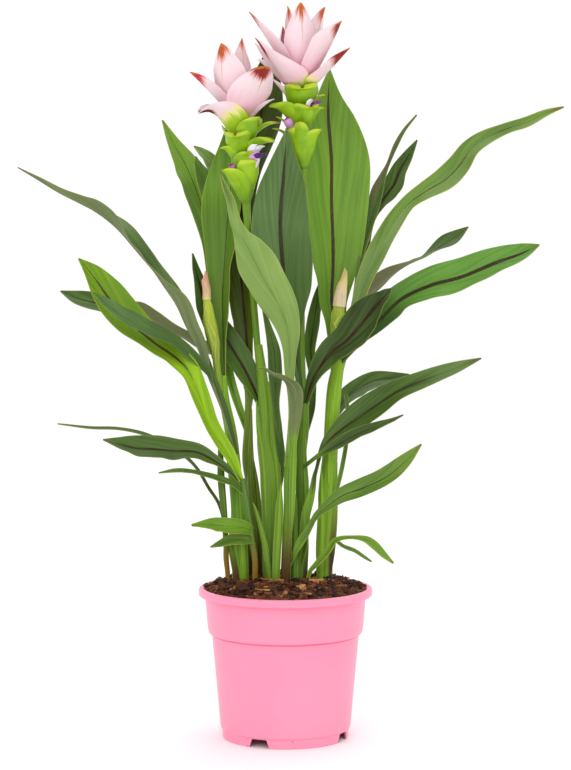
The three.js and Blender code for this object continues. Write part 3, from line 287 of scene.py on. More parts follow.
def grid(name, rows, columns):
    """A flat grid primitive. Its rows will run along a line and its columns across it."""
    deselect()
    bpy.ops.mesh.primitive_grid_add(x_subdivisions=columns, y_subdivisions=rows, size=1)
    piece = bpy.context.object
    piece.name = name
    return piece


def lay(piece, points):
    """Lays the piece's points, given in millimetres."""
    piece.data.vertices.foreach_set("co", (points * MM).astype(np.float32).ravel())
    piece.data.update()


def read_points(piece):
    flat = np.zeros(len(piece.data.vertices) * 3, np.float32)
    piece.data.vertices.foreach_get("co", flat)
    return flat.reshape(-1, 3) / MM


def keep(piece, **values):
    """Stores a number on each point, for the finish to read."""
    count = len(piece.data.vertices)
    for name, value in values.items():
        layer = piece.data.attributes.new(name, "FLOAT", "POINT")
        data = np.broadcast_to(np.asarray(value, np.float32).ravel(), count)
        layer.data.foreach_set("value", np.ascontiguousarray(data))


def apply_modifier(piece, kind, **settings):
    bpy.context.view_layer.objects.active = piece
    modifier = piece.modifiers.new(kind.lower(), kind)
    for key, value in settings.items():
        setattr(modifier, key, value)
    bpy.ops.object.modifier_apply(modifier=modifier.name)


def merge_points(piece):
    """Closes the seam and the poles of a rolled grid."""
    bpy.context.view_layer.objects.active = piece
    bpy.ops.object.mode_set(mode="EDIT")
    bpy.ops.mesh.select_all(action="SELECT")
    bpy.ops.mesh.remove_doubles(threshold=MERGE_DISTANCE * MM)
    bpy.ops.object.mode_set(mode="OBJECT")


def join(name, pieces):
    deselect()
    for piece in pieces:
        piece.select_set(True)
    bpy.context.view_layer.objects.active = pieces[0]
    if len(pieces) > 1:
        bpy.ops.object.join()
    pieces[0].name = name
    return pieces[0]


def hand_over(piece, slot, *nodes, smooth_degrees=50):
    """Gives a finished piece its shading and its body, and hides what it replaces. The slot is not
    used.
    """
    deselect()
    piece.select_set(True)
    bpy.context.view_layer.objects.active = piece
    bpy.ops.object.shade_smooth_by_angle(angle=math.radians(smooth_degrees))
    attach(piece, "root")
    if nodes:
        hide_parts(*nodes)
    triangles = sum(len(face.vertices) - 2 for face in piece.data.polygons)
    print(f"{piece.name}: {triangles} triangles")


print("Grid helpers are ready")

# %% Blades and stalks
CREASE_SOFTNESS = 0.06
RIB_WIDTH = 1.1
BLADE_WAVES = 3
LEAST_HALF_WIDTH = 0.2
LEAST_STEM_RADIUS = 0.3


def sheet(place, side, normal, across, lift):
    """Rows of points, each so far across to the side of its place and so far above it."""
    return place[:, None] + side[:, None] * across[..., None] + normal[:, None] * lift[..., None]


def blade(name, stations, shape, rows, columns, thickness, bend=None, paint=None):
    """A thin sheet along a midrib. A station is [x, y, z, half-width, turn in degrees]. The
    halves rise from the midrib by the fold and curl towards their edges by the cup. bend may
    shift the sheet's points before it gets its thickness, and paint may add values to them."""
    stations = np.asarray(stations, float)
    t = np.linspace(0, 1, rows + 1)
    place, heading = line_through(stations[:, :3], t)
    width, turn = line_through(stations[:, 3:], t)[0].T
    side, normal = directions(heading, turn, shape.get("flat"))
    half = np.maximum(width, shape.get("tip_width", LEAST_HALF_WIDTH))[:, None]
    s = np.linspace(-1, 1, columns + 1)[None, :]
    distance = np.sqrt(s**2 + CREASE_SOFTNESS**2) - CREASE_SOFTNESS
    fold, cup = math.radians(shape["fold"]), math.radians(shape["cup"])
    chord = fold + cup * np.abs(s) / 2
    sink = half * math.sin(fold + cup / 2) if shape.get("edges_on_line") else 0 * half
    across = half * s * np.cos(chord)
    ripple = shape.get("wave", 0) * s * np.abs(s) * np.sin(2 * math.pi * BLADE_WAVES * t[:, None])
    rib = shape.get("rib", 0) * np.exp(-((across / RIB_WIDTH) ** 2)) * (1 - t[:, None])
    lift = half * distance * np.sin(chord) + ripple - sink - rib
    points = sheet(place, side, normal, across, lift)
    if bend is not None:
        points = bend(points, t, s)
    piece = grid(name, rows, columns)
    lay(piece, points.reshape(-1, 3))
    steps = np.linalg.norm(np.diff(place, axis=0), axis=1)
    arc = np.concatenate([[0], np.cumsum(steps)])[:, None]
    spread = np.broadcast_to
    size = (rows + 1, columns + 1)
    values = {
        "across": spread(s, size),
        "along": spread(t[:, None], size),
        "span": spread(half, size),
        "arc": spread(arc, size),
    }
    if paint is not None:
        values.update(paint(t[:, None], s))
    keep(piece, **values)
    apply_modifier(
        piece, "SOLIDIFY", thickness=thickness * MM, offset=0, use_quality_normals=True
    )
    middle = points.reshape(-1, 3)
    face = np.repeat(normal, columns + 1, axis=0)
    both = read_points(piece)
    below = np.einsum("ij,ij->i", both[: len(middle)] - middle, face).mean() < 0
    under = np.zeros(len(both))
    under[: len(middle)] = float(below)
    under[len(middle) :] = float(not below)
    keep(piece, under=under)
    return piece


def stalk(name, stations, rows, sides, ribs=0, rib_height=0.0):
    """A round stem. A station is [x, y, z, radius]. It is a grid rolled up and closed."""
    stations = np.asarray(stations, float)
    t = np.concatenate([[0], np.linspace(0, 1, rows - 1), [1]])
    place, heading = line_through(stations[:, :3], t)
    radius = np.maximum(line_through(stations[:, 3:], t)[0][:, 0], LEAST_STEM_RADIUS)
    radius[0] = radius[-1] = 0
    side, normal = directions(heading, np.zeros(len(t)))
    angle = -np.linspace(0, 2 * math.pi, sides + 1)[None, :]
    reach = radius[:, None] + rib_height * np.cos(ribs * angle) * (radius[:, None] > 0)
    points = sheet(place, side, normal, reach * np.cos(angle), reach * np.sin(angle))
    piece = grid(name, rows, sides)
    lay(piece, points.reshape(-1, 3))
    keep(piece, along=np.repeat(t, sides + 1), right=np.tile(np.cos(angle[0]), rows + 1))
    merge_points(piece)
    return piece


print("Blades and stalks can be laid")

# %% [markdown]
# The leaf finish. The upper face is green with a purple-brown stripe along the midrib, and fine
# veins run almost parallel to it. The underside is paler and duller. The stripe is only colour,
# so it is painted by its distance from the midrib in millimetres, which each point of a blade
# carries. An image would do it too, but this one stays sharp at any size.

# %% Leaf finishes
VEIN_SPREAD = 0.13


def leaf_finish(name, light, dark, under_light, under_dark, stripe_colour=srgb(44, 20, 6)):
    look = Finish(name, Specular_IOR_Level=0.22)
    across, along = look.attribute("across"), look.attribute("along")
    span, arc, seed = look.attribute("span"), look.attribute("arc"), look.attribute("seed")
    under = look.attribute("under")
    distance = abs(across) * span
    from_rib = distance - arc * VEIN_SPREAD
    bands = look.noise(1, 2, vector=look.vector(from_rib * 0.36, arc * 0.01, seed * 19))
    veins = look.noise(1, 2, vector=look.vector(from_rib * 1.5, arc * 0.02, seed * 41))
    cloud = look.noise(18)
    tone = (bands * 0.6 + cloud * 0.4).step(0.36, 0.64)
    upper = look.mix(tone, light, dark)
    back = look.mix(tone, under_light, under_dark)
    stripe = look.attribute("stripe") * look.attribute("striped")
    reach = distance - stripe * along.step(1.02, 0.74) * span.step(2.2, 5.5)
    ragged = (look.noise(500, 1) - 0.5) * 0.5
    upper = look.mix((reach + ragged).step(0.32, -0.2) * 0.95, upper, stripe_colour)
    back = look.mix(distance.step(1.0, 0.2) * 0.5, back, look.mix(tone, under_dark, dark))
    surface = look.mix(under, upper, back)
    surface = look.mix(veins.step(0.52, 0.76) * 0.1, surface, srgb(176, 196, 112))
    surface = look.mix(veins.step(0.46, 0.24) * 0.14, surface, srgb(30, 52, 10))
    surface = look.mix(look.attribute("pale"), surface, srgb(128, 152, 92))
    # Painted shade: brown-grey over the parts of a leaf that lie in shade.
    surface = look.mix(look.attribute("painted_brown_shade"), surface, srgb(94, 84, 58))
    # Painted shade: dark green over the parts of a leaf that lie in shade.
    surface = look.mix(look.attribute("deep"), surface, srgb(52, 74, 20))
    young = look.mix(tone, srgb(122, 162, 44), srgb(92, 132, 30))
    surface = look.mix(look.attribute("young"), surface, young)
    margin = (span - distance).step(0.7, 0.05) * look.attribute("margin")
    surface = look.mix(margin, surface, srgb(178, 178, 84))
    dry = (along + (bands - 0.5) * 0.1).step(0.94, 1.0) * look.attribute("dry")
    surface = look.mix(dry, surface, srgb(122, 78, 38))
    roughness = under * 0.12 + veins * 0.14 + 0.36
    return look.end(surface, roughness, bands * 0.6 + veins * 0.4, relief_mm=0.14)


LEAF_LOOKS = {
    "bright": leaf_finish(
        "leaf_bright", srgb(150, 188, 20), srgb(118, 162, 24), srgb(146, 174, 56), srgb(126, 156, 44),
        srgb(66, 36, 4),
    ),
    "fresh": leaf_finish(
        "leaf_fresh", srgb(112, 152, 40), srgb(92, 132, 32), srgb(134, 160, 78), srgb(116, 142, 66),
        srgb(56, 26, 4),
    ),
    "mid": leaf_finish(
        "leaf_mid", srgb(104, 136, 50), srgb(82, 114, 40), srgb(132, 158, 82), srgb(116, 144, 70)
    ),
    "deep": leaf_finish(
        "leaf_deep", srgb(78, 108, 36), srgb(52, 80, 22), srgb(100, 120, 66), srgb(84, 104, 54)
    ),
    "blue": leaf_finish(
        "leaf_blue", srgb(94, 124, 66), srgb(76, 106, 52), srgb(112, 138, 80), srgb(96, 120, 70)
    ),
    "grey": leaf_finish(
        "leaf_grey", srgb(84, 110, 48), srgb(66, 92, 38), srgb(108, 122, 76), srgb(94, 106, 64)
    ),
    "cool": leaf_finish(
        "leaf_cool", srgb(98, 146, 56), srgb(80, 126, 44), srgb(126, 158, 84), srgb(110, 142, 70)
    ),
    "night": leaf_finish(
        "leaf_night", srgb(66, 90, 38), srgb(42, 60, 18), srgb(88, 104, 56), srgb(70, 88, 44)
    ),
    "olive": leaf_finish(
        "leaf_olive", srgb(76, 94, 8), srgb(52, 70, 2), srgb(86, 100, 24), srgb(66, 82, 14)
    ),
}
print("Leaf finishes:", ", ".join(LEAF_LOOKS))

# %% [markdown]
# A stem of this plant isn't wood but a roll of leaf sheaths, one in the other. It is a closed
# round stalk with fine lengthwise streaks, and long pointed sheaths with pale margins lie
# against the thick ones. Near the soil the sheaths turn brown, on some stems on one side only.

# %% Stem finish
SOIL_LEVEL = 104


def stem_finish(name, light, dark, foot, foot_height_mm, foot_from=-2.0):
    """The foot is brown where a point's number for right is above foot_from. On a round stem
    that number goes from -1 at its left edge to 1 at its right edge."""
    look = Finish(name, Specular_IOR_Level=0.25)
    height, around = look.height(), look.around()
    streak = look.noise(1, 3, vector=look.vector(around * 14, height * 9))
    thin = look.noise(1, 2, vector=look.vector(around * 60, height * 16, 4.0))
    colour = look.mix(streak.step(0.35, 0.65), light, dark)
    colour = look.mix(thin.step(0.55, 0.8) * 0.2, colour, srgb(170, 196, 90))
    top = (SOIL_LEVEL + foot_height_mm) * MM
    brown = (height + (streak - 0.5) * 0.02).step(top, (SOIL_LEVEL + 0.2 * foot_height_mm) * MM)
    brown = brown * look.attribute("right").step(foot_from, foot_from + 0.6)
    colour = look.mix(brown * 0.94, colour, look.mix(thin, foot, srgb(70, 38, 16)))
    margin = abs(look.attribute("across")).step(0.72, 0.97) * look.attribute("margin")
    colour = look.mix(margin, colour, srgb(196, 216, 130))
    fine = look.noise(1, 2, vector=look.vector(around * 34, height * 5, 9.0))
    colour = look.mix(fine.step(0.5, 0.3) * 0.4, colour, srgb(52, 78, 10))
    return look.end(colour, 0.38 + streak * 0.16, streak * 0.5 + thin * 0.5, relief_mm=0.14)


STEM_LOOKS = {
    "stem_thin_left": stem_finish(
        "stem_yellow", srgb(108, 136, 36), srgb(72, 96, 22), srgb(186, 132, 34), 46
    ),
    "stem_thick_left": stem_finish(
        "stem_green", srgb(128, 172, 34), srgb(92, 132, 24), srgb(78, 34, 10), 40, foot_from=1.2
    ),
    "stem_slim_left": stem_finish(
        "stem_orange_foot", srgb(100, 136, 52), srgb(80, 114, 40), srgb(176, 122, 8), 44
    ),
    "stem_olive": stem_finish(
        "stem_olive", srgb(116, 136, 38), srgb(84, 104, 22), srgb(56, 32, 10), 40
    ),
    "stem_thick_centre": stem_finish(
        "stem_deep_green", srgb(120, 154, 40), srgb(94, 130, 30), srgb(84, 96, 26), 6
    ),
    "stem_brown_foot": stem_finish(
        "stem_brown_foot", srgb(128, 166, 38), srgb(94, 132, 28), srgb(78, 30, 4), 62,
        foot_from=-1.4,
    ),
    "stem_right_of_centre": stem_finish(
        "stem_mid_green", srgb(106, 146, 36), srgb(78, 110, 18), srgb(44, 22, 6), 32,
        foot_from=0.0,
    ),
    "stem_thick_right": stem_finish(
        "stem_bright_green", srgb(138, 178, 36), srgb(108, 148, 26), srgb(70, 28, 14), 78,
        foot_from=0.1,
    ),
}
print("Stem finishes:", len(STEM_LOOKS))

# %% Stations of the stems
STEM_FOOT = 89
STEMS = {
    "stem_thin_left": [
        (-40, 1, STEM_FOOT, 1.5), (-40, 1, 111, 1.7), (-41, -2, 124, 1.9), (-41, -5, 134, 1.9),
        (-42, -10, 155, 2.2), (-44, -11, 179, 2.5), (-44.5, -10.5, 196, 1.9),
        (-45.5, -9, 209, 0.4),
    ],
    "stem_thick_left": [
        (-31, 3, STEM_FOOT, 5), (-31, 3, 110, 5.3), (-32, 3, 122, 6.4), (-33, 3, 133, 6.9),
        (-33, 3, 143, 5.9), (-33, 3, 155, 4.8), (-34, 3, 171, 4.7), (-36, 3, 192, 4.7),
        (-38, 3, 212, 4.1), (-42, 4, 233, 3.4), (-43, 5, 250, 2.4),
    ],
    "stem_slim_left": [
        (-21, -6, STEM_FOOT, 1.9), (-21, -6, 112, 2), (-21, -6, 123, 2.1), (-23, -6, 137, 2.1),
        (-25, -7, 150, 2.3), (-27, -9, 163, 2.6), (-30, -10, 180, 2.2),
    ],
    "stem_olive": [
        (-20, 17, STEM_FOOT, 3.5), (-21, 17, 120, 3.6), (-22, 17, 148, 3.7), (-23, 17, 169, 4),
        (-26, 17, 190, 4.2), (-26, 17, 211, 3.1), (-26, 17, 232, 2.2), (-28, 17, 250, 1.6),
    ],
    "stem_thick_centre": [
        (-10, 6, STEM_FOOT, 5.8), (-10, 6, 111, 6.1), (-10, 6, 136, 6.4), (-10, 6, 164, 6.9),
        (-11, 6, 184, 6.9), (-14, 7, 205, 5.8), (-14, 8, 226, 4.8), (-16, 9, 247, 3.8),
        (-19, 10, 271, 2.9),
    ],
    "stem_brown_foot": [
        (0, -6, STEM_FOOT, 3.3), (0, -6, 112, 3.4), (1, -7, 137, 3.4), (2, -8, 162, 3.3),
        (2, -9, 179, 3.2), (3, -10, 195, 2.8),
    ],
    "stem_right_of_centre": [
        (10, 4, STEM_FOOT, 5.1), (10, 4, 112, 5.3), (11, 4, 133, 5.1), (11, 4, 153, 4.3),
        (11, 3, 174, 4.1), (10, 2, 195, 4.4), (12, 0, 213, 4.1), (13, -2, 232, 3),
    ],
    "stem_thick_right": [
        (27, 6, STEM_FOOT, 5.4), (27, 6, 110, 5.6), (27, 6, 129, 6.1), (28, 6, 143, 6.5),
        (29, 6, 158, 6.6), (29, 6, 171, 6.3), (31, 6, 198, 5.2), (32, 7, 219, 5),
        (34, 8, 243, 5), (38, 9, 264, 3.5),
    ],
}
print("Stems:", len(STEMS))

# %% Sheaths that lie against the stems
# A sheath is its number for right, which decides if its foot is brown, and its stations [x, y,
# z, half-width], from where it leaves the soil or the stem to its tip. With the number 2 a
# sheath's foot is always brown, and with -2 it never is.
SHEATHS = {
    "stem_thick_left": [
        (2.0, [(-33.2, -2.2, 100, 3.2), (-33.8, -2.8, 112, 3.4), (-35, -3.6, 121, 3),
               (-37, -4.6, 129, 2.2), (-40, -4.8, 136, 0.3)]),
        (0.0, [(-28.4, -3, 100, 3.8), (-29, -3.8, 116, 4.2), (-30, -4.6, 132, 4.6),
               (-30.5, -3.6, 146, 4), (-31.5, -2.8, 166, 3), (-32.5, -2.4, 186, 1.6),
               (-33, -2.2, 200, 0.3)]),
    ],
    "stem_olive": [
        (0.0, [(-21, 12.6, 112, 2.2), (-22.5, 12.6, 148, 2.4), (-24.5, 12.2, 176, 2.2),
               (-24, 12.2, 205, 1.6), (-23.5, 13, 226, 0.3)]),
        (0.0, [(-16.5, 14, 100, 3.4), (-17, 14, 128, 3.2), (-18, 14, 148, 2.8), (-20, 13.6, 172, 2),
               (-22, 13.4, 190, 0.3)]),
        (0.0, [(-25.5, 14, 100, 3.6), (-25.3, 14, 124, 3.2), (-25, 14, 142, 2.2),
               (-25, 13.8, 158, 0.3)]),
    ],
    "stem_thick_centre": [
        (0.0, [(-9.5, -5.2, 104, 1.2), (-11.2, -6.8, 115, 1.7), (-12.6, -8, 123, 2.1),
               (-13.9, -9, 132.9, 2.2), (-15.2, -9.6, 139, 2), (-17.7, -10.2, 149, 1.6),
               (-20.6, -11.4, 159.5, 0.9), (-22.6, -12, 164, 0.2)]),
        (0.0, [(-13.4, 0.4, 140, 1), (-14, -0.6, 168, 3.6), (-15.2, -0.4, 190, 3.2),
               (-18.4, 0.6, 214, 2), (-20, 1.4, 233, 0.3)]),
        (0.0, [(-5.4, 1, 132, 2.4), (-5, 0.6, 152, 3), (-5.4, 0.4, 176, 3.2), (-7, 0.6, 196, 3),
               (-9, 1.6, 220, 2.2), (-11.6, 3, 246, 0.3)]),
    ],
    "stem_brown_foot": [
        (-2.0, [(-6.3, -8.2, 106, 2.9), (-6.4, -9.2, 114, 3.1), (-6.1, -9.6, 123, 3.3),
                (-5.7, -9.9, 132, 3.4), (-5.1, -10.4, 141, 3.4), (-4.6, -10.8, 150, 3.3),
                (-4.1, -11, 161, 3), (-3.8, -11, 168, 2), (-2.9, -11, 177, 0.2)]),
        (0.0, [(1.4, -9.9, 108, 2.2), (2.2, -10.9, 132, 2.4), (3, -11.4, 156, 2.1),
               (3.6, -12, 180, 1.4), (4, -12.4, 196, 0.3)]),
        (0.5, [(3.6, -13.4, 140, 0.6), (4.2, -14.6, 156, 2), (4.8, -15.8, 176, 2.6),
               (5.4, -17, 192, 2.4), (6.2, -18.2, 206, 1.4), (6.8, -18.6, 215, 0.3)]),
    ],
    "stem_right_of_centre": [
        (0.0, [(6.2, -3.4, 104, 2.8), (6, -3.2, 124, 2.8), (6.2, -2.8, 142, 2.5),
               (6.5, -2.4, 156, 2), (6.6, -2.4, 163, 1.5), (6.2, -2.6, 171.5, 0.2)]),
        (0.0, [(13.2, -1.8, 150, 1), (13.6, -1.6, 172, 3), (12.6, -1.8, 192, 2.6),
               (12.4, -4.2, 214, 1.4), (12, -5, 226, 0.3)]),
    ],
    "stem_thick_right": [
        (-0.6, [(24.6, 0.4, 100, 3.8), (24.8, 0, 122, 4), (25.2, -0.4, 142, 3.7),
                (25.2, -0.4, 158, 3), (25, 0, 172, 2), (24.7, 0.6, 186, 0.3)]),
        (0.9, [(31, 2.4, 112, 0.6), (32.4, 2, 128, 2.2), (33.4, 2.6, 148, 3), (34, 3, 164, 2.6),
               (34.6, 3.6, 178, 1.6), (35.6, 4, 190, 0.3)]),
        (0.0, [(29.6, -0.4, 176, 0.8), (29.8, -0.2, 188, 3), (30.6, 1.4, 206, 3),
               (31.6, 2.2, 228, 2), (33, 3.4, 246, 0.3)]),
    ],
}
SHEATH_THICKNESS = 0.4
SHEATH_SHAPE = {"fold": 6, "cup": 62, "tip_width": 0.15}
SHEATH_ROW_STEP, SHEATH_LEAST_ROWS, SHEATH_COLUMNS = 2.2, 10, 12
SHEATH_MARGIN = 0.55


def sheath(name, right, stations):
    """A long pointed strip that lies on a stem, hollow side to the stem."""
    full = [(x, y, z, half, 180) for x, y, z, half in stations]
    rows = max(SHEATH_LEAST_ROWS, int((stations[-1][2] - stations[0][2]) / SHEATH_ROW_STEP))
    strip = blade(name, full, SHEATH_SHAPE, rows, SHEATH_COLUMNS, SHEATH_THICKNESS)
    keep(strip, right=right, margin=SHEATH_MARGIN)
    return strip


print("Sheaths:", sum(len(rows) for rows in SHEATHS.values()))

# %% Make the stems
STEM_RIBS, STEM_RIB_HEIGHT = 9, 0.05
STEM_ROW_STEP, STEM_SIDES = 2.5, 36

for name, stations in STEMS.items():
    rows = int((stations[-1][2] - stations[0][2]) / STEM_ROW_STEP)
    round_stem = stalk(name + "_fine", stations, rows, STEM_SIDES, STEM_RIBS, STEM_RIB_HEIGHT)
    keep(round_stem, across=0.0, margin=0.0)
    parts = [round_stem]
    for number, (right, places) in enumerate(SHEATHS.get(name, ())):
        parts.append(sheath(f"{name}_sheath_{number}", right, places))
    stem = join(name + "_fine", parts)
    stem.data.materials.append(STEM_LOOKS[name])
    hand_over(stem, "stem", name)

